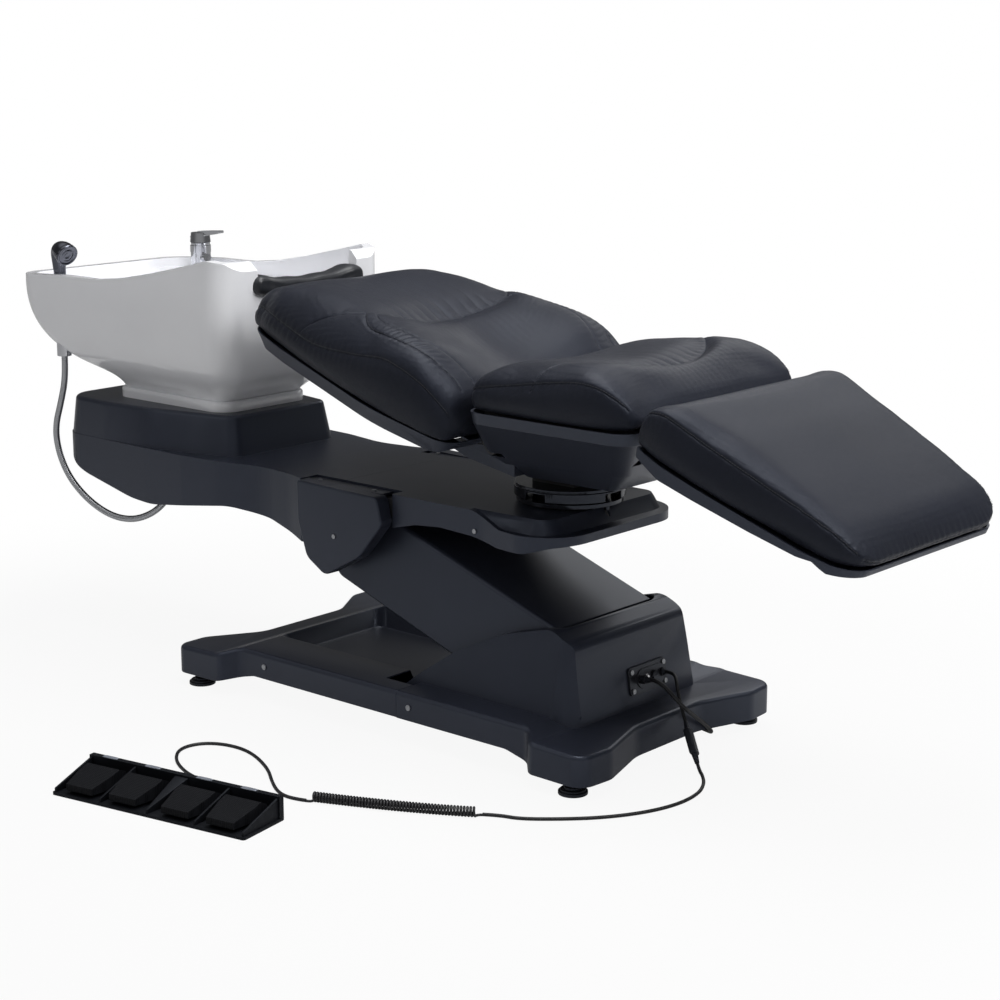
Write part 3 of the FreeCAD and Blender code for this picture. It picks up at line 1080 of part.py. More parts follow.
# Cushions: lofts of closed sections with a flat base, bulged sides, raised wings and a dished middle
def cushion(table, by):
    wires = []
    for x, half, base, seam, wing, middle in (tuple(v * b for v, b in zip(row, by)) for row in table):
        foot, edge, inner = half * 0.955, half * 0.978, half * 0.5
        between = (wing + middle) / 2
        belly = base + (seam - base) * 0.45
        ring_points = [(-foot, base), (foot, base), (half, belly), (edge, seam), (half * 0.8, wing),
                       (inner, between), (0, middle), (-inner, between), (-half * 0.8, wing), (-edge, seam),
                       (-half, belly)]
        p = [V(x, y, z) for y, z in ring_points]
        arcs = [Part.makeLine(p[0], p[1]), Part.Arc(p[1], p[2], p[3]).toShape(),
                Part.Arc(p[3], p[4], p[5]).toShape(),
                Part.Arc(p[5], p[6], p[7]).toShape(), Part.Arc(p[7], p[8], p[9]).toShape(),
                Part.Arc(p[9], p[10], p[0]).toShape()]
        wires.append(Part.Wire(arcs))
    return Part.makeLoft(wires, True, False)


def slots(x0, x1, z0, z1, extra=0):
    """Cuts beside both hinge lines, wider on the side that holds the slide bar."""
    inside = S.lug_side - S.lug_thick * 2
    outside = S.lug_side + S.lug_thick
    wide_in = S.slide_bar_y - S.slide_bar_thick / 2 - S.lug_gap * 4
    near = Part.makeBox(x1 - x0, outside - inside, z1 - z0, V(x0, -outside, z0))
    far = Part.makeBox(x1 - x0, outside - wide_in, z1 - z0, V(x0, wide_in, z0))
    return [near, far]


def laid(shape, x, z, slope):
    return turned(shape, x, z, slope)


# Seat cushion
seat_rows_shares = [
    (0.37, 0.901, 1.011, 1.034, 0.922, 0.914), (0.394, 0.954, 1.003, 1.056, 0.951, 0.943),
    (0.439, 0.985, 1.001, 1.068, 0.97, 0.961), (0.553, 1, 1.001, 1.087, 0.986, 0.969),
    (0.704, 1.008, 1.001, 1.108, 1.001, 0.98), (0.804, 1.008, 1.001, 1.118, 1.003, 0.982),
    (0.888, 1, 1.001, 1.108, 0.989, 0.974), (0.946, 0.977, 1.003, 1.084, 0.962, 0.953),
    (0.985, 0.939, 1.009, 1.059, 0.932, 0.928), (1, 0.901, 1.019, 1.04, 0.914, 0.911),
]
solid("seat_cushion", cushion(seat_rows_shares, (S.seat_front, S.seat_half, S.seat_low, S.seat_low,
                                                 S.seat_crest, S.seat_crest)))

# Seat shell: tapered tray with a rear tail, open above, slotted at the hinges
seat_shell_shares = [
    (0.382, 0.724, 0.351, 0.777), (0.305, 0.838, 0.573, 0.844), (0.379, 0.982, 0.973, 0.967),
    (0.374, 0.992, 0.985, 0.999),
]


def shell_loft(grow):
    wires = []
    last = len(seat_shell_shares) - 1
    for i, (x0, x1, half, z) in enumerate(seat_shell_shares):
        level = z * S.seat_low + (0 if not grow else (-grow if i == 0 else (S.play if i == last else 0)))
        wires.append(frame4(x0 * S.seat_front - grow, x1 * S.seat_front + grow, half * S.seat_half + grow,
                            half * S.seat_half * 0.16 + grow, level))
    return Part.makeLoft(wires, True, True)


tail_shares = [
    (0.395, 0.785), (0.204, 0.817), (0.124, 0.845), (0.134, 0.862), (0.395, 0.862),
]
tail_line = [V(x * S.seat_front, -S.shell_waist, z * S.seat_low) for x, z in tail_shares]
tail_face = Part.Face(rounded(tail_line, [S.play, S.shell_waist * 0.4, S.play * 4, S.play * 3, S.play]))
tail = tail_face.extrude(V(0, 2 * S.shell_waist, 0))
tail_inner = tail_face.makeOffset2D(-wall).extrude(V(0, 2 * S.shell_waist - 2 * wall, 0))
tail_inner.translate(V(0, wall, 0))
shell = shell_loft(0).fuse(tail).cut(tail_inner).cut(shell_loft(-wall))
column_half = S.ring_bore * 0.8
shell = shell.cut(Part.makeBox(2 * column_half + 2 * S.play, 2 * column_half + 2 * S.play,
                               S.shell_rim - S.shell_low + S.seat_rail / 2,
                               V(S.swivel_x - column_half - S.play, -column_half - S.play,
                                 S.shell_low - S.seat_rail / 2)))
for tool in slots(S.seat_back * 0.72, S.seat_back * 1.06, S.back_z - S.slide_back * 2, S.shell_rim + S.play):
    shell = shell.cut(tool)
for tool in slots(S.seat_front * 0.86, S.seat_front * 1.02, S.leg_z - S.slide_leg * 1.35,
                  S.shell_rim + S.play):
    shell = shell.cut(tool)
solid("seat_shell", shell.removeSplitter())

# Seat frame: column, rails under the cushion and hinge lugs at both ends
frame_top = S.seat_low - S.running / 2
column_low = S.ring_low + S.ring_gap + S.plate_thick
rail_low = frame_top - S.seat_rail_high
seat_steel = Part.makeBox(2 * column_half, 2 * column_half, rail_low - column_low,
                          V(S.swivel_x - column_half, -column_half, column_low))
seat_steel = seat_steel.cut(Part.makeBox(2 * column_half - 2 * wall, 2 * column_half - 2 * wall, S.deck,
                                         V(S.swivel_x - column_half + wall, -column_half + wall,
                                           column_low + wall)))
rail_from, rail_to = S.seat_back * 1.075, S.seat_front * 0.95
for sign in (1, -1):
    seat_steel = seat_steel.fuse(Part.makeBox(rail_to - rail_from, S.tube_wide * 0.7, S.seat_rail_high,
                                              V(rail_from, sign * S.seat_rail - S.tube_wide * 0.35,
                                                rail_low)))
for x in (rail_from, S.swivel_x - column_half * 0.5, S.swivel_x + column_half * 2.6,
          rail_to - S.tube_wide * 0.7):
    seat_steel = seat_steel.fuse(Part.makeBox(S.tube_wide * 0.7, 2 * S.seat_rail, S.seat_rail_high,
                                              V(x, -S.seat_rail, rail_low)))
drop_share, out_share = 1.66, 1.3
back_elbow = (S.back_x + S.slide_back * out_share, S.back_z - S.slide_back * drop_share)
leg_elbow = (S.leg_x - S.slide_leg * 0.82, S.leg_z - S.slide_leg * 1.12)
back_pivot, leg_pivot = (S.back_x, S.back_z), (S.leg_x, S.leg_z)
for sign in (1, -1):
    y = sign * S.lug_side
    y0, y1 = y - S.lug_thick / 2, y + S.lug_thick / 2
    root_z = rail_low + S.lug_radius
    seat_steel = seat_steel.fuse(strap([(rail_from + S.lug_radius, root_z - S.play * 4), back_elbow,
                                        back_pivot],
                                       S.lug_radius, y0, y1))
    seat_steel = seat_steel.fuse(strap([(rail_to - S.lug_radius, root_z - S.play * 4), leg_elbow, leg_pivot],
                                       S.lug_radius, y0, y1))
far_out = S.base_half
for x, z in (back_pivot, leg_pivot):
    seat_steel = seat_steel.cut(pin(S.hinge_pin + S.fit, x, z, -far_out, far_out))
solid("seat_frame", seat_steel.removeSplitter())
pins = []
for x, z in (back_pivot, leg_pivot):
    for sign in (1, -1):
        ends = sorted((sign * (S.lug_side - S.lug_thick * 1.75), sign * (S.lug_side + S.lug_thick * 0.75)))
        pins.append(pin(S.hinge_pin, x, z, *ends))
solid("hinge_pins", Part.makeCompound(pins))

# Recline drive: a fixed tube under the seat, and the bar that works both rests
bar_z = S.back_z - S.slide_back * 0.95
back_pin_x = S.back_x + S.slide_back * math.sin(math.radians(S.back_range / 2))
leg_pin_x = S.leg_x + S.slide_leg * math.sin(math.radians(S.leg_range / 2))
drive_y = S.slide_bar_y - S.slide_bar_thick * 3
drive_from = S.swivel_x + column_half * 1.3
drive_to = drive_from + S.slide_leg * 2.1
actuator = Part.makeCylinder(S.screw_tube * 0.9, drive_to - drive_from, V(drive_from, drive_y, bar_z),
                             V(1, 0, 0))
actuator = actuator.fuse(Part.makeBox(S.gear_long, S.screw_tube * 1.8, S.screw_tube * 1.8,
                                      V(drive_to - S.play, drive_y - S.screw_tube * 0.9,
                                        bar_z - S.screw_tube * 0.9)))
hanger_x = S.swivel_x + column_half * 2.6
actuator = actuator.fuse(Part.makeBox(S.tube_wide * 0.7, S.screw_tube, rail_low - bar_z,
                                      V(hanger_x, drive_y - S.screw_tube / 2, bar_z)))
actuator = actuator.cut(Part.makeCylinder(S.slide_pin + S.fit, S.slide_leg * 2,
                                          V(drive_from - S.play, drive_y, bar_z), V(1, 0, 0)))
solid("recline_actuator", actuator.removeSplitter())
bar_end = S.slide_pin * 2.2
bar = Part.makeBox(leg_pin_x - back_pin_x + 2 * bar_end, S.slide_bar_thick, S.slide_bar_high,
                   V(back_pin_x - bar_end, S.slide_bar_y - S.slide_bar_thick / 2,
                     bar_z - S.slide_bar_high / 2))
slot_x, slot_z = S.slide_pin + S.play * 0.6, S.slide_pin + S.play * 4
for x in (back_pin_x, leg_pin_x):
    bar = bar.cut(Part.makeBox(2 * slot_x, 2 * S.slide_bar_thick, 2 * slot_z,
                               V(x - slot_x, S.slide_bar_y - S.slide_bar_thick, bar_z - slot_z)))
yoke_from = drive_from - S.slide_leg * 0.55
bar = bar.fuse(Part.makeBox(S.slide_bar_thick, S.slide_bar_y - drive_y + S.slide_pin, S.slide_pin * 2.6,
                            V(yoke_from, drive_y - S.slide_pin, bar_z - S.slide_pin * 1.3)))
bar = bar.fuse(Part.makeCylinder(S.slide_pin, S.slide_leg * 1.75, V(yoke_from, drive_y, bar_z), V(1, 0, 0)))
solid("recline_bar", bar.removeSplitter())

# Backrest, modelled flat about its hinge and laid at its slope
back_rows_shares = [
    (-1, 0.646, -0.8, -0.239, -0.087, -0.093), (-0.974, 0.743, -0.933, -0.087, 0.217, 0.207),
    (-0.906, 0.806, -1, 0, 0.457, 0.435), (-0.755, 0.875, -1, 0.022, 0.674, 0.609),
    (-0.547, 0.944, -1, 0.065, 0.826, 0.652), (-0.33, 0.993, -1, 0.37, 0.967, 0.543),
    (-0.17, 1.007, -1, 0.609, 1, 0.457), (-0.057, 1, -1, 0.543, 0.935, 0.391),
    (0, 0.993, -1, 0.457, 0.804, 0.337), (0.06, 0.972, -0.989, 0.283, 0.63, 0.239),
    (0.102, 0.931, -0.933, 0.087, 0.391, 0.087), (0.13, 0.868, -0.489, -0.13, 0.065, -0.087),
]
back_scale = (S.back_reach, S.back_half, S.back_under, S.back_wing, S.back_wing, S.back_wing)
back_pad = cushion(back_rows_shares, back_scale)
notch_reach = S.back_round * 1.3
back_slots = slots(-S.lug_radius * 1.9, notch_reach, -notch_reach, S.back_round * 0.56)
back_slots += slots(-S.lug_radius * 5.6, notch_reach, -notch_reach * 1.2, -S.lug_radius * 0.4)
for tool in back_slots:
    back_pad = back_pad.cut(tool)
solid("back_cushion", laid(back_pad, S.back_x, S.back_z, S.back_slope))

back_plan_shares = [
    (0.117, -0.91, 0.153), (-0.226, -0.986, 1.389), (-0.755, -0.865, 1.042), (-0.958, -0.785, 0.208),
]


def back_tray(z0, z1, inset, draw):
    low_plan = scaled(back_plan_shares, S.back_reach, S.back_half, S.back_half)
    top = Part.Face(plan(low_plan, z1)).makeOffset2D(-inset).OuterWire if inset else plan(low_plan, z1)
    bottom = Part.Face(plan(low_plan, z0)).makeOffset2D(-inset - draw).OuterWire
    tray_body = Part.makeLoft([bottom, top], True, True)
    drum = Part.makeCylinder(S.back_round * 1.11 - inset, 4 * S.back_half, V(0, -2 * S.back_half, 0),
                             V(0, 1, 0))
    return tray_body.common(drum.fuse(Part.makeBox(2 * S.back_reach, 4 * S.back_half, 4 * S.back_round,
                                                   V(-2 * S.back_reach, -2 * S.back_half,
                                                     -2 * S.back_round))))


rim_z = -S.back_under - S.running
floor_z = rim_z - S.shell_deep
shell = back_tray(floor_z, rim_z, 0, S.shell_deep * 0.6).cut(back_tray(floor_z + wall, rim_z + S.play, wall,
                                                                       S.shell_deep * 0.6))
for tool in back_slots:
    shell = shell.cut(tool)
solid("back_shell", laid(shell.removeSplitter(), S.back_x, S.back_z, S.back_slope))


def rest_frame(run, top_z, low_z, arm_length, slope, swing, root, thin):
    """Twin tubes with cross bars, hinge plates and the arm that the slide bar moves."""
    made = None
    inside = S.lug_side - S.lug_thick * 1.5 - S.lug_gap
    for sign in (1, -1):
        y0, y1 = sorted((sign * inside, sign * (inside + S.lug_thick)))
        tube_y = (y0 + y1) / 2 - thin
        tube = strap([(root[0], top_z - thin), (run, low_z - thin)], thin, tube_y, tube_y + 2 * thin)
        made = tube if made is None else made.fuse(tube)
        made = made.fuse(strap([root, (0, 0)], S.lug_radius, y0, y1))
    for share in (0.98, 0.5):
        x = root[0] + (run - root[0]) * share
        z = top_z + (low_z - top_z) * share - 2 * thin
        made = made.fuse(Part.makeBox(2 * thin, 2 * inside, 2 * thin, V(x - thin, -inside, z)))
    turn = math.radians(slope + swing / 2)
    reach = (arm_length * math.sin(turn), -arm_length * math.cos(turn))
    y1 = S.lug_side - S.lug_thick * 0.5 - S.lug_gap
    made = made.fuse(strap([(0, 0), reach], S.lug_radius * 0.85, y1 - S.lug_thick, y1))
    made = made.fuse(pin(S.slide_pin, reach[0], reach[1], S.slide_bar_y - S.slide_bar_thick / 2 - S.play, y1))
    made = made.cut(pin(S.hinge_pin + S.fit, 0, 0, -far_out, far_out))
    return made.removeSplitter()


back_steel = rest_frame(-S.back_reach * 0.84, rim_z - S.play, rim_z - S.play, S.slide_back, S.back_slope,
                        S.back_range,
                        (-S.lug_radius * 4.2, rim_z - S.lug_radius), S.shell_deep * 0.26)
solid("back_frame", laid(back_steel, S.back_x, S.back_z, S.back_slope))

# Leg rest, modelled flat about its hinge and laid at its slope
leg_rows_shares = [
    (-0.14, 0.912, -0.222, 0.053, 0.211, 0.175), (-0.118, 0.963, -0.778, 0.351, 0.526, 0.491),
    (-0.061, 0.993, -0.972, 0.632, 0.86, 0.842), (0.025, 1.004, -1, 0.737, 1, 0.982),
    (0.221, 0.985, -0.972, 0.667, 1, 1.011), (0.49, 0.949, -0.861, 0.579, 0.86, 0.877),
    (0.735, 0.904, -0.75, 0.509, 0.667, 0.702), (0.858, 0.875, -0.611, 0.421, 0.526, 0.561),
    (0.944, 0.816, -0.389, 0.211, 0.281, 0.316), (0.995, 0.699, -0.194, 0.018, 0.07, 0.088),
]
leg_scale = (S.leg_reach, S.leg_half, S.leg_under, S.leg_crest, S.leg_crest, S.leg_crest)
leg_pad = cushion(leg_rows_shares, leg_scale)
leg_slots = slots(-S.leg_round * 1.1, S.leg_round * 1.35, -S.leg_round * 1.6, -S.leg_round * 0.14)
leg_slots += slots(-S.lug_radius * 1.3, S.lug_radius * 3.2, -S.leg_round * 1.6, S.lug_radius * 1.3)
for tool in leg_slots:
    leg_pad = leg_pad.cut(tool)
solid("leg_cushion", laid(leg_pad, S.leg_x, S.leg_z, S.leg_slope))

leg_side_shares = [
    (-0.098, -0.621, 0.035), (-0.054, -0.635, 0.175), (0.025, -0.649, 0.526), (0.221, -0.635, 1.053),
    (0.49, -0.565, 1.053), (0.735, -0.495, 0.526), (0.858, -0.411, 0.351), (0.941, -0.27, 0.14),
    (0.971, -0.228, 0.035), (0.975, -0.421, 0.07), (0.858, -0.702, 0.14), (0.828, -0.667, 0.07),
    (0.789, -0.593, 0.07), (0.725, -0.702, 0.526), (0.507, -0.86, 1.053), (0.235, -1, 1.053),
    (0.069, -1.053, 0.351), (-0.074, -0.877, 0.105),
]
leg_plan_shares = [
    (-0.108, -0.963, 0.088), (0.049, -0.985, 0.735), (0.735, -0.89, 0.735), (0.971, -0.816, 0.169),
]


def leg_block(inset):
    face = Part.Face(plan(scaled(leg_plan_shares, S.leg_reach, S.leg_half, S.leg_half), -S.leg_round * 2))
    line = scaled(leg_side_shares, S.leg_reach, S.leg_crest, S.leg_crest)
    if inset:
        face = face.makeOffset2D(-inset)
        line = [(x, z + (S.leg_round if i < 9 else inset), r) for i, (x, z, r) in enumerate(line)]
    body = face.extrude(V(0, 0, S.leg_round * 4))
    return body.common(Part.Face(side(line, -2 * S.leg_half)).extrude(V(0, 4 * S.leg_half, 0)))


shell = leg_block(0).cut(leg_block(S.pedal_wall))
for tool in leg_slots:
    shell = shell.cut(tool)
solid("leg_shell", laid(shell.removeSplitter(), S.leg_x, S.leg_z, S.leg_slope))
leg_steel = rest_frame(S.leg_reach * 0.58, -S.leg_round * 0.78, -S.leg_round * 0.585, S.slide_leg,
                       S.leg_slope, S.leg_range,
                       (S.lug_radius * 5, -S.leg_round * 0.7), S.pedal_wall)
solid("leg_frame", laid(leg_steel, S.leg_x, S.leg_z, S.leg_slope))


# Foot control: tray with a rear ridge and dividers, and four sprung pedals
half_long, half_deep = S.pedal_long / 2, S.pedal_deep / 2
ridge_y = half_deep - S.pedal_wall * 3.2
hinge_y, hinge_z = ridge_y - S.pedal_wall * 3.2, S.pedal_floor * 3.2


def floor_turn(shape):
    shape.Placement = FreeCAD.Placement(V(S.pedal_x, S.pedal_y, 0),
                                        FreeCAD.Rotation(V(0, 0, 1), S.pedal_turn))
    return shape


def rib(x0, x1, line):
    """Upright rib between two widths, cut to a side outline of depth and height."""
    return Part.Face(Part.makePolygon([V(x0, y, z) for y, z in line + line[:1]])).extrude(V(x1 - x0, 0, 0))


front_y = -half_deep + S.pedal_wall
rib_line = [(front_y, 0), (front_y, S.pedal_high * 0.27), (ridge_y + S.play, S.pedal_high * 0.93),
            (ridge_y + S.play, 0)]
plate_corner = S.pedal_wall * 1.5
foot = Part.Face(frame4(-half_long, half_long, half_deep, plate_corner, 0)).extrude(V(0, 0, S.pedal_floor))
foot = foot.fuse(Part.makeBox(S.pedal_long - 2 * S.play, S.pedal_wall * 3.2 - S.play, S.pedal_high,
                              V(S.play - half_long, ridge_y, 0)))
side_x = half_long - S.pedal_wall * 1.5
mid_x = side_x / 2 + S.pedal_wall * 0.25
for sign in (1, -1):
    for x in (side_x, mid_x):
        ends = sorted((sign * x - S.pedal_wall / 2, sign * x + S.pedal_wall / 2))
        foot = foot.fuse(rib(*ends, rib_line))
wedge_rear, wedge_tip = S.pedal_wall * 3.5, S.pedal_wall / 2
wedge_plan = [(-wedge_tip, front_y), (wedge_tip, front_y), (wedge_rear, ridge_y + S.play),
              (-wedge_rear, ridge_y + S.play)]
wedge = Part.Face(Part.makePolygon([V(x, y, 0) for x, y in wedge_plan + wedge_plan[:1]])).extrude(V(0, 0,
                                                                                                    S.pedal_high))
foot = foot.fuse(wedge.common(rib(-wedge_rear, wedge_rear, rib_line)))
gland_z = S.pedal_floor * 1.8
gland_long = S.pedal_wall * 1.75
foot = foot.fuse(Part.makeCylinder(S.lead_radius * 1.6, gland_long, V(0, half_deep - S.play, gland_z),
                                   V(0, 1, 0)))
foot = foot.removeSplitter()
wedge_here = wedge_tip + (wedge_rear - wedge_tip) * (hinge_y - front_y) / (ridge_y + S.play - front_y)
pin_in = S.pedal_wall * 0.45
pockets = [(mid_x + S.pedal_wall / 2, side_x - S.pedal_wall / 2), (wedge_here, mid_x - S.pedal_wall / 2)]
tread_line = [(front_y + S.pedal_wall, S.pedal_floor * 2.2), (front_y + S.pedal_wall, S.pedal_crest * 0.56),
              (S.pedal_crest * 0.42, S.pedal_crest), (ridge_y - S.pedal_wall * 2.8, S.pedal_crest * 0.82),
              (ridge_y - S.pedal_wall * 1.4, S.pedal_crest * 0.55),
              (ridge_y - S.pedal_wall * 1.4, S.pedal_floor * 2.2)]


def tread(middle, inset):
    """Tapered pad, wide at the rear, with a bevelled crest."""
    rear, tip = S.pedal_rear / 2 - inset, S.pedal_tip / 2 - inset
    rear_y, tip_y = ridge_y - S.pedal_wall * 1.4 - inset, front_y + S.pedal_wall + inset
    corners = [(-tip, tip_y), (tip, tip_y), (rear, 0), (rear, rear_y), (-rear, rear_y), (-rear, 0)]
    base = Part.Face(Part.makePolygon([V(middle + x, y, 0) for x, y in corners + corners[:1]]))
    body = base.extrude(V(0, 0, 2 * S.pedal_high))
    rib_face = rib(middle - S.pedal_rear, middle + S.pedal_rear, tread_line)
    rib_face.translate(V(0, 0, -inset))
    return body.common(rib_face)


def pedal(sign, pocket):
    near, far = pocket
    outer_middle = side_x / 2 + mid_x / 2
    middle = sign * (outer_middle if pocket is pockets[0] else mid_x * 0.556)
    body = tread(middle, 0).cut(tread(middle, S.pedal_wall * 0.7))
    ends = sorted((sign * (near - pin_in), sign * (far + pin_in * (0.6 if pocket is pockets[0] else 1))))
    axle = Part.makeCylinder(S.pedal_pin, ends[1] - ends[0], V(ends[0], hinge_y, hinge_z), V(1, 0, 0))
    hole = Part.makeCylinder(S.pedal_pin + S.fit, ends[1] - ends[0] + 2 * S.fit,
                             V(ends[0] - S.fit, hinge_y, hinge_z), V(1, 0, 0))
    return body.fuse(axle).removeSplitter(), hole


pedal_marks = [(-1, pockets[0]), (-1, pockets[1]), (1, pockets[1]), (1, pockets[0])]
for number, (sign, pocket) in enumerate(pedal_marks, 1):
    tread_body, hole = pedal(sign, pocket)
    foot = foot.cut(hole)
    solid(f"pedal_{number}", floor_turn(tread_body))
solid("pedal_base", floor_turn(foot))
hinge_mark = floor_turn(Part.makeSphere(S.play, V(0, hinge_y, hinge_z))).BoundBox.Center
print("pedal hinge", round(hinge_mark.x, 3), round(hinge_mark.y, 3), round(hinge_mark.z, 3))


# Wound cords: a path through evenly turned points, each pair joined by two arcs
def arc_from(start, way, end):
    """Arc that leaves a point in a given direction and ends at another point."""
    chord = end - start
    along_chord = V(chord).normalize()
    side_way = way - along_chord * way.dot(along_chord)
    if side_way.Length < 1e-9:
        return Part.LineSegment(start, end).toShape()
    bow = chord.Length / 2 * math.tan(way.getAngle(chord) / 2)
    return Part.Arc(start, start + chord * 0.5 + side_way.normalize() * bow, end).toShape()


def wound(marks):
    """Wire through marks of a point and a direction, two tangent arcs between neighbours."""
    edges = []
    for (a, u), (b, w) in zip(marks, marks[1:]):
        gap, both = b - a, u + w
        share = 2 * (1 - u.dot(w))
        lean = gap.dot(both)
        reach = gap.dot(gap) / (2 * lean) if share < 1e-9 else (math.sqrt(lean ** 2 + share * gap.dot(gap)) - lean) / share
        joint = (a + u * reach + b - w * reach) * 0.5
        middle_way = (b - w * reach - a - u * reach).normalize()
        edges.append(arc_from(a, u, joint))
        edges.append(arc_from(joint, middle_way, b))
    return edges


def least_gap(edges, radius, apart):
    """Smallest clear space between turns, measured on points well apart along the wire."""
    points, gone = [], 0.0
    for e in edges:
        steps = 6
        for k in range(steps):
            t = e.FirstParameter + (e.LastParameter - e.FirstParameter) * k / steps
            points.append((gone + e.Length * k / steps, e.valueAt(t)))
        gone += e.Length
    best = apart
    for i, (here, p) in enumerate(points):
        for there, q in points[i + 1:]:
            if there - here > apart and there - here < apart * 6:
                best = min(best, (p - q).Length)
    return best - 2 * radius


def wound_tube(name, edges, radius, apart):
    wire = Part.Wire(edges)
    first = edges[0]
    ring_wire = Part.Wire([Part.makeCircle(radius, first.valueAt(first.FirstParameter),
                                           first.tangentAt(first.FirstParameter))])
    swept = wire.makePipeShell([ring_wire], True, False)
    print(name, "length", round(wire.Length), "least gap", round(least_gap(edges, radius, apart), 3),
          "volume against section times length", round(swept.Volume / (math.pi * radius ** 2 * wire.Length),
                                                       4))
    return swept


def marks_of(place, count):
    """Points and directions of a smooth path at evenly spaced shares."""
    made = []
    step = 1e-4
    for i in range(count + 1):
        t = i / count
        made.append((place(t), (place(t + step) - place(t - step)).normalize()))
    return made


# Curly cord between the foot control and the bed
curl_start, curl_middle, curl_end = V(172, -586, 0), V(317, -521, 0), V(432, -457, 0)
curl_arc = Part.Arc(curl_start, curl_middle, curl_end).toShape()
coil_middle = S.curl_outer - S.curl_wire


def curl_place(t):
    spot = curl_arc.FirstParameter + (curl_arc.LastParameter - curl_arc.FirstParameter) * t
    way = curl_arc.tangentAt(spot)
    left = V(-way.y, way.x, 0)
    angle = -math.pi / 2 + 2 * math.pi * S.curl_count * t
    return curl_arc.valueAt(spot) + left * (coil_middle * math.cos(angle)) + V(0, 0,
                                                                               S.curl_outer + coil_middle * math.sin(angle))


curl_marks = marks_of(curl_place, int(2 * S.curl_count))
first_way, last_way = curl_arc.tangentAt(curl_arc.FirstParameter), curl_arc.tangentAt(curl_arc.LastParameter)
first_left, last_left = V(-first_way.y, first_way.x, 0), V(-last_way.y, last_way.x, 0)
lead_in = curl_marks[0][0] - first_way * S.curl_bend - first_left * S.curl_bend
lead_out = curl_marks[-1][0] + last_way * S.curl_bend + last_left * S.curl_bend
tail_in, tail_out = lead_in - first_way * 2 * S.curl_wire, lead_out + last_way * 2 * S.curl_wire
curl_edges = [Part.LineSegment(tail_in, lead_in).toShape()]
curl_edges += wound([(lead_in, first_way)] + curl_marks + [(lead_out, last_way)])
curl_edges.append(Part.LineSegment(lead_out, tail_out).toShape())
curl_turn = 2 * math.pi * coil_middle
solid("curly_cord", wound_tube("curly cord", curl_edges, S.curl_wire, curl_turn * 0.6))

# Lead from the foot control to the curls
gland_out = floor_turn(Part.makeSphere(S.play, V(0, half_deep - S.play + gland_long,
                                                 gland_z))).BoundBox.Center
gland_way = V(-math.sin(math.radians(S.pedal_turn)), math.cos(math.radians(S.pedal_turn)), 0)
lead_z = S.lead_radius
lift = V(0, 0, lead_z - S.curl_wire)
pedal_route = [gland_out, gland_out + gland_way * 30, V(-48, -648, lead_z), V(-105, -637, lead_z),
               V(-165, -607, lead_z),
               V(-206, -562, lead_z), V(-200, -515, lead_z), V(-158, -488, lead_z), V(-94, -487, lead_z),
               V(-6, -526, lead_z), V(57, -574, lead_z), V(100, -600, lead_z),
               tail_in + lift - first_way * 30, tail_in + lift]
solid("pedal_lead", tube_along("pedal lead", pedal_route, S.lead_radius))

# Inline connector that leans on the base, with its two sleeves
top_end, low_end = V(518, 24, 64), V(578, -22, 13)
lean = (low_end - top_end).normalize()
whole = (low_end - top_end).Length
turn_to = FreeCAD.Rotation(V(0, 0, 1), lean)


def leaned(shape, start):
    shape.Placement = FreeCAD.Placement(start, turn_to)
    return shape


upper_long, body_long = S.relief_long, whole - 2.2 * S.relief_long
body_wide, body_thick = S.relief_long * 1.25, S.relief_long * 0.85
body_box = Part.makeBox(body_wide, body_thick, body_long, V(-body_wide / 2, -body_thick / 2, 0))
body_box = body_box.makeFillet(body_thick * 0.3, body_box.Edges)
connector = leaned(Part.makeCone(S.lead_radius * 1.3, S.lead_radius * 1.7, upper_long + S.play), top_end)
connector = connector.fuse(leaned(body_box, top_end + lean * upper_long))
connector = connector.fuse(leaned(Part.makeCone(S.lead_radius * 1.9, S.lead_radius * 1.3,
                                                whole - upper_long - body_long + S.play),
                                  top_end + lean * (upper_long + body_long - S.play)))
solid("inline_connector", connector)
control_route = [tail_out + lift, tail_out + lift + last_way * 30, V(498, -421, lead_z), V(550, -378, lead_z),
                 V(600, -326, lead_z), V(640, -260, lead_z), V(660, -190, lead_z), V(656, -125, lead_z),
                 V(634, -78, lead_z), V(607, -46, lead_z), low_end + lean * 17.5, low_end]
solid("control_lead", tube_along("control lead", control_route, S.lead_radius))

# Plugs in the panel's sockets, and the short lead up to one of them
socket_reach = S.panel_thick * 1.5


def socket_plug(name, y, grip_long, grip, sleeve_long, sleeve_end):
    plug_body = peg(S.socket_radius * 0.8 - S.fit, -S.panel_thick, S.panel_thick * 2.5 + S.play, y)
    plug_body = plug_body.fuse(peg(grip, socket_reach + S.running / 2, grip_long, y))
    start = socket_reach + S.running / 2 + grip_long - S.play / 2
    plug_body = plug_body.fuse(Part.makeCone(grip * 0.8, sleeve_end, sleeve_long, V(start, y, 0), V(1, 0, 0)))
    solid(name, on_panel(plug_body.removeSplitter()))
    return panel_place.multVec(V(start + sleeve_long, y, 0))


panel_way = panel_place.Rotation.multVec(V(1, 0, 0))
control_out = socket_plug("control_plug", socket_y["control"], S.panel_thick, S.socket_radius * 0.88,
                          S.panel_thick * 1.2, S.lead_radius * 1.2)
mains_out = socket_plug("mains_inlet_plug", socket_y["mains"], S.panel_thick * 3, S.socket_radius * 0.88,
                        S.panel_thick * 3, S.mains_radius * 1.2)
socket_route = [control_out, control_out + panel_way * 15, V(470, 56, 136), V(487, 38, 122), V(497, 33.5, 97),
                top_end - lean * 16, top_end]
solid("socket_lead", tube_along("socket lead", socket_route, S.lead_radius))

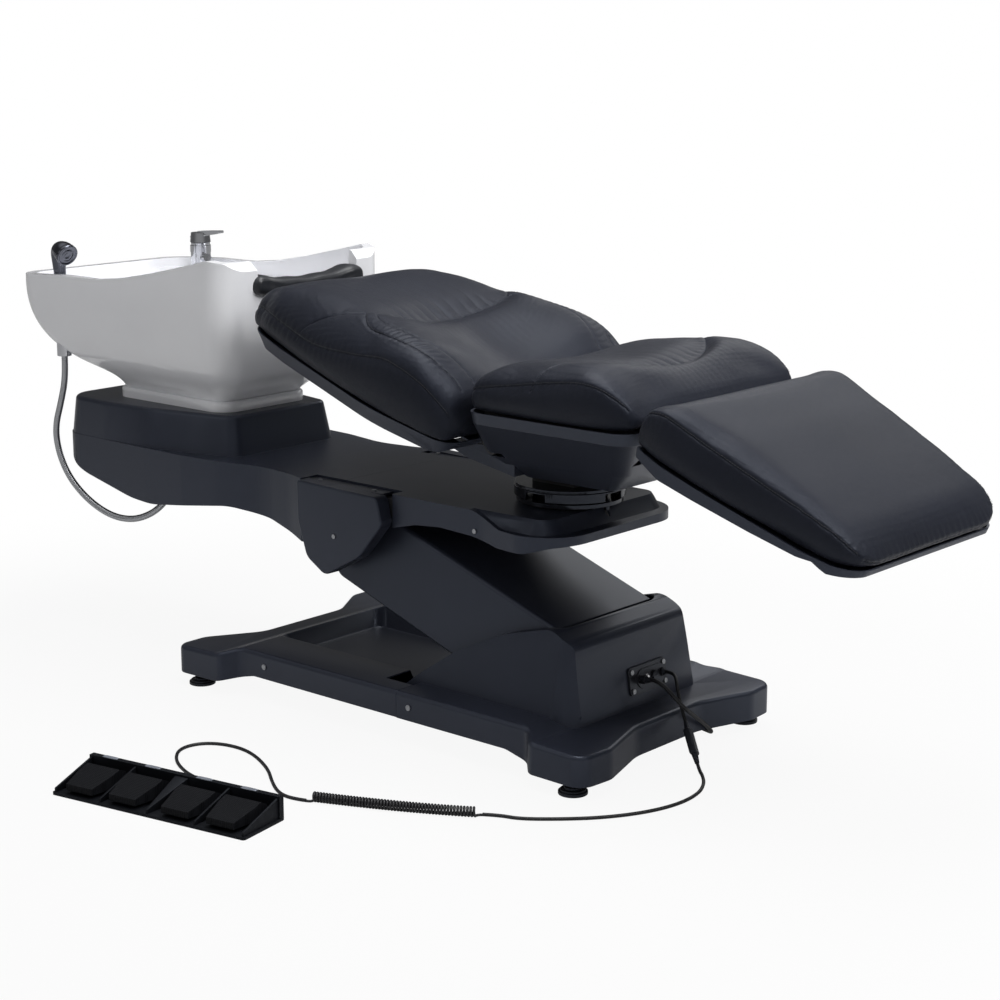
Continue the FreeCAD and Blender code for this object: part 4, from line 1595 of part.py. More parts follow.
# Mains cord from the panel, under the base to the coil behind it
mains_z = S.mains_radius
coil_out = S.coil_radius + S.coil_loops * S.coil_step
coil_entry = V(S.coil_x, S.coil_y - coil_out, mains_z)
straight_end = 2 * S.mains_radius
mains_route = [mains_out, mains_out + panel_way * 24, V(514, 14, 99), V(516, 48.5, 72.5), V(508, 103, 37),
               V(506, 127, 16), V(478, 149, 8), V(425, 172, mains_z), V(335, 190, mains_z),
               V(240, 204, mains_z),
               V(160, 248, mains_z), V(88, coil_entry.y, mains_z), coil_entry + V(straight_end, 0, 0)]
solid("mains_cord", tube_along("mains cord", mains_route, S.mains_radius))


# Put-away coil: spirals in, climbs one layer in half a turn, spirals out
half_turns = 4 * S.coil_loops + 1


def coil_place(t):
    gone = half_turns * t
    climb = min(max(gone - 2 * S.coil_loops, 0), 1)
    inward = abs(gone - half_turns / 2) - 0.5
    radius = S.coil_radius + S.coil_step / 2 * inward
    angle = -math.pi / 2 - math.pi * gone
    height = mains_z + S.coil_step * (1 - math.cos(math.pi * climb)) / 2
    return V(S.coil_x + radius * math.cos(angle), S.coil_y + radius * math.sin(angle), height)


coil_marks = marks_of(coil_place, int(2 * half_turns))
coil_marks[0] = (coil_marks[0][0], V(-1, 0, 0))
coil_marks[-1] = (coil_marks[-1][0], V(1, 0, 0))
coil_exit = coil_marks[-1][0] + V(S.coil_radius * 1.2, 0, 0)
coil_edges = [Part.LineSegment(coil_marks[0][0] + V(straight_end, 0, 0), coil_marks[0][0]).toShape()]
coil_edges += wound(coil_marks) + [Part.LineSegment(coil_marks[-1][0], coil_exit).toShape()]
solid("mains_coil", wound_tube("mains coil", coil_edges, S.mains_radius, math.pi * S.coil_radius))

# Wall plug at the coil's end
plug_x, plug_y, plug_z = coil_exit.x, coil_exit.y, coil_exit.z
wall_plug = Part.makeCone(S.mains_radius * 1.3, S.mains_radius * 2, S.relief_long + S.play,
                          V(plug_x, plug_y, plug_z), V(1, 0, 0))
grip_body = Part.makeBox(S.plug_long, 2.4 * S.plug_half, 2 * S.plug_half,
                         V(plug_x + S.relief_long, plug_y - 1.2 * S.plug_half, plug_z - S.plug_half))
grip_body = grip_body.makeFillet(S.plug_half * 0.3, [e for e in grip_body.Edges
                                                     if abs(e.tangentAt(e.FirstParameter).x) > 0.5])
wall_plug = wall_plug.fuse(grip_body)
for sign in (1, -1):
    wall_plug = wall_plug.fuse(Part.makeCylinder(S.plug_pin, S.relief_long * 1.2 + S.play,
                                                 V(plug_x + S.relief_long + S.plug_long - S.play,
                                                   plug_y + sign * S.plug_half * 0.78, plug_z),
                                                 V(1, 0, 0)))
solid("mains_plug", wall_plug)


# Every object is checked before anything is written
doc.recompute()
for thing in doc.Objects:
    if "Invalid" in thing.State or "Error" in thing.State:
        raise RuntimeError(f"{thing.Name} {thing.Label} did not build: {thing.State}")
for name, thing in nodes.items():
    if thing.Shape.isNull() or not thing.Shape.isValid():
        raise RuntimeError(f"{name} has no valid shape")

# The origin is the middle of the footprint, on the floor, without the loose cords
loose = {"pedal_lead", "curly_cord", "control_lead", "inline_connector", "socket_lead", "control_plug",
         "mains_inlet_plug", "mains_cord", "mains_coil", "mains_plug"}
limits = FreeCAD.BoundBox()
for name, thing in nodes.items():
    if name not in loose:
        limits.add(thing.Shape.optimalBoundingBox(True, False))
shift = V(-(limits.XMin + limits.XMax) / 2, -(limits.YMin + limits.YMax) / 2, -limits.ZMin)
print("shift", [round(v, 3) for v in shift], "size", [round(v, 2) for v in
      (limits.XLength, limits.YLength, limits.ZLength)])
for name, thing in nodes.items():
    place = thing.Placement
    place.Base = place.Base + shift
    thing.Placement = place
doc.recompute()
for name, thing in nodes.items():
    thing.Shape.exportStep(f"parts/{name}.step")
print(len(nodes), "pieces written")
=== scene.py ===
# %% [markdown]
# # Dressing a hair washing bed
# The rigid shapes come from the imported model. This lesson gives them finishes, makes the padded and
# flexible pieces, and sets the light and the camera. Each step says what the thing is on the real bed,
# how it could be made, and why this way was chosen. Surfaces are worked out with numpy as whole arrays.

# %% Load the frame
import math

import bmesh
import bpy
import numpy as np
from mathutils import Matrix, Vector
from mathutils.bvhtree import BVHTree
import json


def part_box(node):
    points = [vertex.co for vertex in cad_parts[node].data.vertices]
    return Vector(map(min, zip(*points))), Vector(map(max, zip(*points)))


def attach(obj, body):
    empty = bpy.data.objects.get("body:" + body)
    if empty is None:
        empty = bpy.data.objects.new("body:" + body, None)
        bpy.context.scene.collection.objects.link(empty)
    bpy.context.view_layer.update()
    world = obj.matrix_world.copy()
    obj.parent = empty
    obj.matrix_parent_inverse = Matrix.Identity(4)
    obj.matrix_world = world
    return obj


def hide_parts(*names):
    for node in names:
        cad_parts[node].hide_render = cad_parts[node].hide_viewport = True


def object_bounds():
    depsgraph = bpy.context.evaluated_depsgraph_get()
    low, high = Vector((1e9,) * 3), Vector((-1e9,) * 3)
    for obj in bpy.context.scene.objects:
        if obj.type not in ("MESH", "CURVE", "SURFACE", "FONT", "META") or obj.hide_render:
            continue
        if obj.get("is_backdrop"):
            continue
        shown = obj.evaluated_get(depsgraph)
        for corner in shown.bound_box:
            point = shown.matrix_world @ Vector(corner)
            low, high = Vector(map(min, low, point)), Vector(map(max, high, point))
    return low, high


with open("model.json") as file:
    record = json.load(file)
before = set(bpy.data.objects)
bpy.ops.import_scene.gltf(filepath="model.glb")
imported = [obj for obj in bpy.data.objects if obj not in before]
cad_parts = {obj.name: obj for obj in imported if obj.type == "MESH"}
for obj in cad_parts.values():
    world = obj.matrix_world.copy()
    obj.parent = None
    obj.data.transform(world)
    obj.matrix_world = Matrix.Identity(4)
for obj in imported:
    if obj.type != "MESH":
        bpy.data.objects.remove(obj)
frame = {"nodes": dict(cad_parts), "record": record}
cad_low, cad_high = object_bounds()
scene = bpy.context.scene
cad = frame["nodes"]
body_of_node = {node: body for body, members in frame["record"]["behaviour"]["bodies"].items()
                for node in members}
print("nodes", len(cad), "box", [round(v, 3) for v in (*cad_low, *cad_high)])

# %% [markdown]
# The bed was drawn in millimetres from the floor point midway between its four feet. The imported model
# has its own origin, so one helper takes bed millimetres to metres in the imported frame.

# %% Bed millimetres to the frame
feet_low, feet_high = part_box("levelling_feet")
bed_origin = np.array([(feet_low.x + feet_high.x) / 2, (feet_low.y + feet_high.y) / 2, 0.0])


def bed(points):
    """Bed millimetres to metres in the frame: divide by a thousand and add the bed's origin."""
    return np.asarray(points, float) / 1000 + bed_origin


print("bed origin", bed_origin.round(4))

# %% [markdown]
# ## Camera
# The photograph looks at the bed's front corner from a little above, through a long lens. A camera can be
# aimed with a constraint, but a location and a turn worked out once are plainer and never drift.

# %% Camera
azimuth, elevation = math.radians(40.941), math.radians(12.698)
towards_camera = Vector((math.sin(azimuth) * math.cos(elevation), -math.cos(azimuth) * math.cos(elevation),
                         math.sin(elevation)))
lens = bpy.data.cameras.new("picture_camera")
lens.sensor_width, lens.lens = 36.0, 77.094
lens.clip_start, lens.clip_end = 0.1, 60.0
camera = bpy.data.objects.new("picture_camera", lens)
scene.collection.objects.link(camera)
camera.location = bed((2700.45, -3009.05, 1318.96))
camera.rotation_mode = "QUATERNION"
camera.rotation_quaternion = (-towards_camera).to_track_quat("-Z", "Y")
scene.camera = camera
scene.view_settings.view_transform = "Standard"
print("camera", [round(v, 3) for v in camera.location])

# %% [markdown]
# ## Shader sums
# Node trees get long when each sum is wired by hand. A small class holds a socket and answers to + - * /
# by adding a Math node, so that a finish reads as arithmetic. Every other node comes from one method.

# %% Sockets that answer to arithmetic
class Wire:
    """A socket of a finish's node tree; arithmetic on it adds Math nodes."""

    def __init__(self, finish, socket):
        self.finish, self.socket = finish, socket

    def sum(self, operation, *values):
        return self.finish.node("ShaderNodeMath", {"operation": operation}, *values)

    def __add__(self, other):
        return self.sum("ADD", self, other)

    def __sub__(self, other):
        return self.sum("SUBTRACT", self, other)

    def __rsub__(self, other):
        return self.sum("SUBTRACT", other, self)

    def __mul__(self, other):
        return self.sum("MULTIPLY", self, other)

    def __truediv__(self, other):
        return self.sum("DIVIDE", self, other)

    def __pow__(self, other):
        return self.sum("POWER", self, other)

    __radd__, __rmul__ = __add__, __mul__


# %% One method for every other node
class Finish:
    """A material with its Principled shader, and the means to add nodes to it."""

    def __init__(self, name):
        self.material = bpy.data.materials.new(name)
        self.material.use_nodes = True
        self.tree = self.material.node_tree
        self.shader = self.tree.nodes["Principled BSDF"]

    def join(self, socket, value):
        if isinstance(value, Wire):
            self.tree.links.new(value.socket, socket)
        elif value is not None:
            socket.default_value = value

    def node(self, kind, settings=None, *values, out=0, **named):
        made = self.tree.nodes.new(kind)
        for key, value in (settings or {}).items():
            if key == "stops":
                ramp = made.color_ramp.elements
                while len(ramp) < len(value):
                    ramp.new(0.5)
                for element, (spot, level) in zip(ramp, value):
                    element.position, element.color = spot, (level, level, level, 1)
            else:
                setattr(made, key, value)
        spaced = [(key.replace("_", " "), value) for key, value in named.items()]
        for spot, value in list(enumerate(values)) + spaced:
            self.join(made.inputs[spot], value)
        return Wire(self, made.outputs[out])

    def set(self, **sockets):
        for name, value in sockets.items():
            self.join(self.shader.inputs[name.replace("_", " ")], value)
        return self

    def here(self, scale=(1, 1, 1)):
        """Object coordinates, stretched by scale."""
        spot = self.node("ShaderNodeTexCoord", None, out="Object")
        return self.node("ShaderNodeMapping", None, spot, Scale=scale)

    def noise(self, scale, detail=3.0, rough=0.5, stretch=(1, 1, 1)):
        """Soft noise from 0 to 1, scale features to the metre."""
        return self.node("ShaderNodeTexNoise", None, Vector=self.here(stretch), Scale=scale, Detail=detail,
                         Roughness=rough)

    def cells(self, scale, feature="DISTANCE_TO_EDGE", stretch=(1, 1, 1)):
        """Distance inside small irregular cells, scale cells to the metre."""
        return self.node("ShaderNodeTexVoronoi", {"feature": feature}, Vector=self.here(stretch), Scale=scale)

    def between(self, share, dark, light):
        """A colour between two, by a share from 0 to 1."""
        made = self.tree.nodes.new("ShaderNodeMix")
        made.data_type = "RGBA"
        for spot, value in ((0, share), (6, (*dark, 1)), (7, (*light, 1))):
            self.join(made.inputs[spot], value)
        return Wire(self, made.outputs[2])

    def steps(self, value, low, high):
        """0 below low, 1 above high, and a smooth rise between."""
        made = self.tree.nodes.new("ShaderNodeMapRange")
        made.interpolation_type = "SMOOTHSTEP"
        for spot, number in ((0, value), (1, low), (2, high), (3, 0.0), (4, 1.0)):
            self.join(made.inputs[spot], number)
        return Wire(self, made.outputs[0])

    def bumps(self, height, depth):
        """Bump of a height from 0 to 1 over a depth in metres."""
        return self.node("ShaderNodeBump", None, Strength=1.0, Distance=depth, Height=height, out="Normal")

    def mark(self, name):
        """A value stored on the mesh's points."""
        return self.node("ShaderNodeAttribute", {"attribute_name": name}, out="Fac")


print("shader helpers ready")

# %% [markdown]
# ## Moulded covers
# The covers are charcoal plastic with a fine moulded grain and a soft sheen. The grain could be a picture,
# but a noise at the grain's real size, about one millimetre, never tiles and needs no file.

# %% Plastics
def moulded(name, colour, rough, grain=900.0, depth=0.00005, shine=0.5, lift=1.35):
    """Moulded plastic: a colour with slow drift, a fine grain bump and roughness that varies a little."""
    made = Finish(name)
    slow = made.noise(7.0, 2.0)
    fine = made.noise(grain, 2.0)
    light = [min(1.0, c * lift) for c in colour]
    made.set(Base_Color=made.between(slow, colour, light), Roughness=rough - 0.05 + slow * 0.06 + fine * 0.06,
             Normal=made.bumps(fine, depth), Specular_IOR_Level=shine, Specular_Tint=(0.74, 0.82, 1.0, 1))
    return made.material


cover_finish = moulded("charcoal_cover", (0.0172, 0.0196, 0.0298), 0.33)
shell_finish = moulded("tray_plastic", (0.0205, 0.023, 0.0325), 0.4)
panel_finish = moulded("panel_plastic", (0.012, 0.012, 0.014), 0.3, shine=0.5)
motor_finish = moulded("motor_housing", (0.03, 0.03, 0.033), 0.5)
drain_finish = moulded("drain_plastic", (0.32, 0.33, 0.34), 0.4)
pedal_finish = moulded("foot_control_plastic", (0.0035, 0.0038, 0.0048), 0.5, grain=700.0, depth=0.00008,
                       shine=0.15)
plug_finish = moulded("plug_plastic", (0.01, 0.01, 0.012), 0.4, shine=0.45)
ring_finish = moulded("gloss_ring", (0.006, 0.006, 0.0075), 0.12, depth=0.00001, shine=0.5)
feet_finish = moulded("foot_pad_plastic", (0.008, 0.008, 0.01), 0.38)
print("plastics", 9)

# %% [markdown]
# ## Metals
# Chrome mirrors the room, so most of its look is the light. A trace of haze stops it looking computed.
# Zinc plate shows faint spangles, powder coat a fine orange peel, and the screws a brushed face.

# %% Metals
def metal(name, colour, rough, haze=60.0, depth=0.0):
    """Bare metal: slow haze in the roughness, and an optional shallow texture."""
    made = Finish(name)
    cloud = made.noise(haze, 3.0)
    made.set(Base_Color=(*colour, 1), Metallic=1.0, Roughness=rough + cloud * rough * 0.6)
    if depth:
        made.set(Normal=made.bumps(cloud, depth))
    return made.material


def coated(name, colour, rough):
    """Powder coat: dark paint over steel with a fine pebbled skin."""
    made = Finish(name)
    peel = made.noise(420.0, 2.0)
    made.set(Base_Color=made.between(peel, colour, [c * 1.25 for c in colour]), Roughness=rough + peel * 0.08,
             Normal=made.bumps(peel, 0.00012), Specular_IOR_Level=0.4)
    return made.material


def plated(name):
    """Zinc plate: flat spangles of slightly different grey."""
    made = Finish(name)
    flake = made.cells(160.0, "F1")
    made.set(Base_Color=made.between(flake, (0.5, 0.51, 0.53), (0.62, 0.63, 0.65)), Metallic=1.0,
             Roughness=0.28 + flake * 0.15)
    return made.material


chrome_finish = metal("polished_chrome", (0.62, 0.63, 0.66), 0.06)
dark_chrome_finish = metal("dark_chrome", (0.105, 0.11, 0.13), 0.1)
button_finish = metal("button_metal", (0.8, 0.8, 0.82), 0.12)
hose_finish = metal("hose_strip", (0.42, 0.43, 0.45), 0.24, 300.0, 0.00003)
screw_finish = metal("screw_heads", (0.36, 0.37, 0.39), 0.3)
steel_finish = coated("powder_coat", (0.022, 0.022, 0.025), 0.42)
zinc_finish = plated("zinc_plate")
print("metals", 7)

# %% [markdown]
# ## Glaze
# The bowl is white fireclay under a thick clear glaze. The glaze pools a little, so reflections wander; a
# very slow, shallow bump does that without dimpling the surface.

# %% Glaze
glaze = Finish("white_glaze")
pool = glaze.noise(9.0, 2.0)
glaze.set(Base_Color=glaze.between(pool, (0.79, 0.795, 0.825), (0.84, 0.845, 0.87)),
          Roughness=0.06 + pool * 0.05,
          Normal=glaze.bumps(pool, 0.0012), Specular_IOR_Level=0.55, Coat_Weight=0.35, Coat_Roughness=0.04)
bowl_finish = glaze.material
print("glaze made")

# %% [markdown]
# ## Leather and rubber
# The upholstery is black leather with pores of about a millimetre and a soft shine where it is stretched.
# Pores are the edges of small irregular cells. A value stored on the mesh gives the distance to the nearest
# seam: close to it the leather is pressed into a groove, and painted shade darkens its colour there.

# %% Leather
def leather():
    """Black leather: pore cells, slow tone drift, a pressed groove along each seam, darkened there with
    painted shade.
    """
    made = Finish("black_leather")
    pores = made.steps(made.cells(620.0), 0.0, 0.16)
    creases = made.noise(85.0, 5.0, 0.62, (1.0, 1.0, 1.6))
    drift = made.noise(5.0, 3.0)
    groove_and_shade = made.steps(made.mark("seam"), 0.0003, 0.0026)
    # painted shade: close to a seam the colour drops to a quarter, as shade in the pressed groove; the same
    # value also sets the groove's bump
    tone = (drift * 0.6 + pores * 0.4) * (groove_and_shade * 0.75 + 0.25)
    made.set(Base_Color=made.between(tone, (0.0078, 0.0088, 0.0132), (0.0160, 0.0180, 0.0268)),
             Roughness=0.27 + drift * 0.1 - pores * 0.03 + creases * 0.12,
             Normal=made.bumps(pores * 0.16 + creases * 0.3 + groove_and_shade * 1.6, 0.00055),
             Specular_IOR_Level=0.16, Specular_Tint=(0.78, 0.85, 1.0, 1), Sheen_Weight=0.02,
             Sheen_Roughness=0.4)
    return made.material


def rubber(name, colour, rough, shine=0.35):
    """Satin rubber with a trace of mottling."""
    made = Finish(name)
    mottle = made.noise(240.0, 3.0)
    made.set(Base_Color=made.between(mottle, colour, [c * 1.5 for c in colour]),
             Roughness=rough + mottle * 0.12,
             Normal=made.bumps(mottle, 0.00006), Specular_IOR_Level=shine)
    return made.material


def dimpled():
    """Pedal treads: rows of round dimples four millimetres apart, on a grid turned with the pedals, each
    dimple darkened with painted shade.
    """
    made = Finish("dimpled_tread")
    spot = made.node("ShaderNodeTexCoord", None, out="Object")
    turned = made.node("ShaderNodeMapping", None, spot, Rotation=(0, 0, math.radians(-10)))
    dots = made.node("ShaderNodeTexVoronoi", {"feature": "F1", "voronoi_dimensions": "2D"}, Vector=turned,
                     Scale=260.0, Randomness=0.0)
    dish = made.steps(dots, 0.12, 0.42)
    # painted shade: each dimple's colour is darker than the flat between them; the same mask also presses the
    # dimples in as a bump
    made.set(Base_Color=made.between(dish, (0.0035, 0.0038, 0.0048), (0.0065, 0.007, 0.0088)),
             Roughness=0.55 + dish * 0.08,
             Normal=made.bumps(dish, 0.0005), Specular_IOR_Level=0.08)
    return made.material


leather_finish = leather()
neck_finish = rubber("neck_rest_rubber", (0.010, 0.011, 0.014), 0.34, 0.45)
cord_finish = rubber("cord_rubber", (0.008, 0.008, 0.0095), 0.4, 0.45)
tread_finish = dimpled()
thread = Finish("stitch_thread")
thread.set(Base_Color=thread.between(thread.noise(900.0), (0.02, 0.021, 0.025), (0.045, 0.047, 0.054)),
           Roughness=0.6)
thread_finish = thread.material
plate = Finish("bare_label_plate")
plate.set(Base_Color=plate.between(plate.noise(120.0), (0.2, 0.22, 0.26), (0.3, 0.32, 0.37)), Roughness=0.35,
          Metallic=0.4)
plate_finish = plate.material
print("leather, rubber, thread and plates made")

# %% [markdown]
# ## Covers and castings from the model
# A moulded edge is never sharp: its small round catches the light. The model's meshes are loose triangles,
# so each visible rigid piece is copied, its doubles merged and its flat triangles joined, and a Bevel
# modifier rounds the edges. Pieces hidden inside keep the model's own mesh and only get a finish.

# %% Rounded copies
def rounded_copy(node, finish, width, angle=28.0, smooth=32.0):
    """A merged copy of a CAD node with small rounds on every edge sharper than angle."""
    mesh = cad[node].data.copy()
    work = bmesh.new()
    work.from_mesh(mesh)
    bmesh.ops.remove_doubles(work, verts=work.verts, dist=2e-6)
    bmesh.ops.dissolve_limit(work, angle_limit=math.radians(0.4), verts=work.verts, edges=work.edges)
    work.to_mesh(mesh)
    work.free()
    mesh.name = node + "_dressed"
    piece = bpy.data.objects.new(node + "_dressed", mesh)
    scene.collection.objects.link(piece)
    mesh.shade_smooth()
    mesh.set_sharp_from_angle(angle=math.radians(smooth))
    if width:
        bevel = piece.modifiers.new("rounds", "BEVEL")
        bevel.width, bevel.segments, bevel.limit_method = width / 1000, 2, "ANGLE"
        bevel.angle_limit, bevel.harden_normals = math.radians(angle), True
        bevel.use_clamp_overlap, bevel.miter_outer = True, "MITER_SHARP"
    mesh.materials.clear()
    mesh.materials.append(finish)
    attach(piece, body_of_node[node])
    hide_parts(node)
    return piece


# %% Rounded covers
covers = [("base_cover_rear", 2.2), ("base_cover_front", 2.2), ("rear_cover", 2.0), ("front_cover", 2.4),
          ("arm_cover", 2.0), ("pivot_cover_near", 1.6), ("pivot_cover_far", 1.6)]
for node, width in covers:
    rounded_copy(node, cover_finish, width)
for node in ("seat_shell", "back_shell", "leg_shell"):
    rounded_copy(node, shell_finish, 1.8)
for node in ("swivel_lower_ring", "swivel_upper_plate"):
    rounded_copy(node, ring_finish, 0.8)
print("covers", len(covers) + 5)

# %% Rounded small parts
small = [("socket_panel", panel_finish, 0.6, "panel_plastic"),
         ("fuse_cap", panel_finish, 0.3, "panel_plastic"),
         ("power_button", button_finish, 0.3, "button_metal"),
         ("levelling_feet", feet_finish, 1.0, "panel_plastic"),
         ("tap_body", chrome_finish, 1.2, "tap_chrome"), ("tap_cartridge", chrome_finish, 0.6, "tap_chrome"),
         ("tap_lever", chrome_finish, 1.4, "tap_chrome"), ("shower_sleeve", chrome_finish, 0.8, "tap_chrome"),
         ("drain_strainer", chrome_finish, 0.5, "drain_metal"),
         ("control_plug", plug_finish, 0.5, "cord_rubber"),
         ("mains_inlet_plug", plug_finish, 0.5, "cord_rubber"),
         ("mains_plug", plug_finish, 0.8, "cord_rubber"),
         ("inline_connector", plug_finish, 0.4, "cord_rubber"),
         ("pedal_base", pedal_finish, 1.0, "pedal_plastic")]
for node, finish, width, slot in small:
    rounded_copy(node, finish, width)
for node in ("pedal_1", "pedal_2", "pedal_3", "pedal_4"):
    rounded_copy(node, tread_finish, 1.2)
print("small parts", len(small) + 4)

# %% [markdown]
# Hidden steel, drives and the drain keep the model's meshes. Their finish goes into the material slots the
# model already has, because a CAD node's mesh is never changed.

# %% Finishes for the rest of the model
plain = {"base_frame": steel_finish, "lift_arm": steel_finish, "carriage_frame": steel_finish,
         "seat_frame": steel_finish, "back_frame": steel_finish, "leg_frame": steel_finish,
         "level_link": steel_finish, "lower_pivot_shaft": zinc_finish, "hinge_pins": zinc_finish,
         "lift_rod": zinc_finish, "recline_bar": zinc_finish, "base_screws": screw_finish,
         "cover_screws": screw_finish, "control_box": motor_finish, "lift_actuator": motor_finish,
         "recline_actuator": motor_finish, "drain_tail": drain_finish, "bowl": bowl_finish}
for node, finish in plain.items():
    if not cad[node].material_slots:
        cad[node].data.materials.append(finish)
    for socket_slot in cad[node].material_slots:
        socket_slot.material = finish
print("CAD meshes kept", len(plain))

# %% [markdown]
# ## Surfaces from two parameters
# A padded piece is a closed surface: one parameter runs along it and the other round its section. The
# section's few sizes are given at some stations and a smooth curve is drawn through them.

# %% Smooth curve through stations
def smooth(x, stations, values):
    """Cubic through given stations, with the mean of both neighbours' slopes at each, all as arrays."""
    s, v = np.asarray(stations, float), np.asarray(values, float)
    rise = np.diff(v) / np.diff(s)
    slope = np.concatenate([[rise[0]], (rise[:-1] + rise[1:]) / 2, [rise[-1]]])
    slope[1:-1] = np.where(rise[:-1] * rise[1:] <= 0, 0, slope[1:-1])
    k = np.clip(np.searchsorted(s, x) - 1, 0, len(s) - 2)
    width = s[k + 1] - s[k]
    t = np.clip((x - s[k]) / width, 0, 1)
    return ((2 * t ** 3 - 3 * t ** 2 + 1) * v[k] + (t ** 3 - 2 * t ** 2 + t) * width * slope[k]
            + (3 * t ** 2 - 2 * t ** 3) * v[k + 1] + (t ** 3 - t ** 2) * width * slope[k + 1])


def mesh_of(name, points, closed_round=True, caps=True):
    """Mesh of a grid of points, rows along the piece and columns round it, with its ends closed."""
    rows, columns = points.shape[:2]
    index = np.arange(rows * columns).reshape(rows, columns)
    after = np.roll(index, -1, 1) if closed_round else index[:, 1:]
    here = index if closed_round else index[:, :-1]
    quads = np.stack([here[:-1], after[:-1], after[1:], here[1:]], -1).reshape(-1, 4)
    faces = quads.tolist()
    if caps:
        faces += [index[0, ::-1].tolist(), index[-1].tolist()]
    mesh = bpy.data.meshes.new(name)
    mesh.from_pydata(points.reshape(-1, 3), [], faces)
    mesh.shade_smooth()
    return mesh


def outward(mesh):
    """Turns every face of a closed mesh outwards."""
    work = bmesh.new()
    work.from_mesh(mesh)
    bmesh.ops.recalc_face_normals(work, faces=work.faces)
    work.to_mesh(mesh)
    work.free()
    return mesh


# %% [markdown]
# ## Cushions
# Each cushion is foam under sewn leather: a flat base on its tray, bulged sides, a stitched seam where side
# and top meet, raised wings and a dished middle. It could be sculpted by hand, but a section function keeps
# it inside the solid that stands for it. Each end is rounded by drawing the section in on a quarter circle.

# %% Cushion sections
def cushion_surface(rows, length_step=7.0, end_round=16.0, shrink=1.5):
    """Closed surface: along x, and round a section of dished top, shoulder, bulged side and flat base."""
    table = np.array(rows, float)
    x = np.arange(table[0, 0] + shrink, table[-1, 0] - shrink, length_step)
    x = np.append(x, table[-1, 0] - shrink)
    half, base, seam, wing, middle = (smooth(x, table[:, 0], table[:, k]) for k in range(1, 6))
    near_end = np.minimum(x - x[0], x[-1] - x)
    drawn = np.where(near_end < end_round,
                     end_round - np.sqrt(np.maximum(end_round ** 2 - (end_round - near_end) ** 2, 0)), 0)
    half = half - drawn - shrink
    mid = (base + np.minimum(seam, wing)) / 2
    pull = 1 - drawn / end_round * 0.5
    heights = (base + shrink, seam - shrink / 2, wing - shrink, middle - shrink)
    base, seam, wing, middle = (mid + (height - mid) * pull for height in heights)
    one = np.ones_like(x)[:, None]
    across = np.linspace(0, 1, 15)[None, :]
    dish = across ** 2 * (3 - 2 * across)
    top_y, top_z = half[:, None] * 0.8 * across, middle[:, None] + (wing - middle)[:, None] * dish
    turn = np.linspace(0, math.pi / 2, 10)[None, 1:]
    edge = half * 0.985
    shoulder_y = half[:, None] * 0.8 + (edge - half * 0.8)[:, None] * np.sin(turn) ** 0.9
    shoulder_z = seam[:, None] + (wing - seam)[:, None] * np.cos(turn) ** 0.9
    down = np.linspace(0, 1, 11)[None, 1:]
    bulge = (half - edge)[:, None] * np.sin(down * math.pi) ** 0.8
    side_y = edge[:, None] + bulge - half[:, None] * 0.03 * down ** 3
    side_z = seam[:, None] + (base - seam)[:, None] * down
    under = np.linspace(1, 0, 9)[None, 1:]
    base_y, base_z = side_y[:, -1:] * under, base[:, None] * np.ones_like(under)
    right_y = np.concatenate([top_y, shoulder_y, side_y, base_y], 1)
    right_z = np.concatenate([top_z, shoulder_z, side_z, base_z], 1)
    y = np.concatenate([right_y, -right_y[:, -2:0:-1]], 1)
    z = np.concatenate([right_z, right_z[:, -2:0:-1]], 1)
    return np.stack([x[:, None] * one[:, :1] * np.ones_like(y), y, z], -1)


# %% [markdown]
# The measured rows below hold, for each station along a cushion, its half width and the heights of its
# base, side seam, wing crest and middle, in millimetres from its own hinge or from the floor.

# %% Cushion rows
back_rows = [(-530, 186, -36, -22, -8, -8.6), (-516, 214, -42, -8, 20, 19), (-480, 232, -45, 0, 42, 40),
             (-400, 252, -45, 2, 62, 56), (-290, 272, -45, 6, 76, 60), (-175, 286, -45, 34, 89, 50),
             (-90, 290, -45, 56, 92, 42), (-30, 288, -45, 50, 86, 36), (0, 286, -45, 42, 74, 31),
             (32, 280, -44.5, 26, 58, 22), (54, 268, -42, 8, 36, 8), (69, 250, -22, -12, 6, -8)]
seat_rows = [(221, 236, 653, 668, 682, 676), (235, 250, 648, 682, 704, 698), (262, 258, 646.4, 690, 718, 711),
             (330, 262, 646.4, 702, 730, 717), (420, 264, 646.4, 716, 741, 725),
             (480, 264, 646.4, 722, 742, 727),
             (530, 262, 646.4, 716, 732, 721), (565, 256, 648, 700, 712, 705), (588, 246, 652, 684, 690, 687),
             (597, 236, 658, 672, 676, 674)]
leg_rows = [(-57, 248, -8, 3, 12, 10), (-48, 262, -28, 20, 30, 28), (-25, 270, -35, 36, 49, 48),
            (10, 273, -36, 42, 57, 56), (90, 268, -35, 38, 57, 57.6), (200, 258, -31, 33, 49, 50),
            (300, 246, -27, 29, 38, 40), (350, 238, -22, 24, 30, 32), (385, 222, -14, 12, 16, 18),
            (406, 190, -7, 1, 4, 5)]
back_hinge, back_slope = (145.0, 640.0), math.radians(16.5)
leg_hinge, leg_slope = (660.0, 650.0), math.radians(24.0)
print("rows", len(back_rows), len(seat_rows), len(leg_rows))


def laid(points, hinge, slope):
    """Local millimetres turned by slope about Y and moved to a hinge, as bed millimetres."""
    x, y, z = points[..., 0], points[..., 1], points[..., 2]
    return np.stack([hinge[0] + x * math.cos(slope) + z * math.sin(slope), y,
                     hinge[1] - x * math.sin(slope) + z * math.cos(slope)], -1)


# %% [markdown]
# ## Stuffing
# Leather swells between its seams because the foam pushes it out. A cloth simulation does the same: the
# shape is remeshed evenly, blown up a little with its base held, and how far any point may go is capped.
# The result is applied, so the piece that stays is a plain mesh.

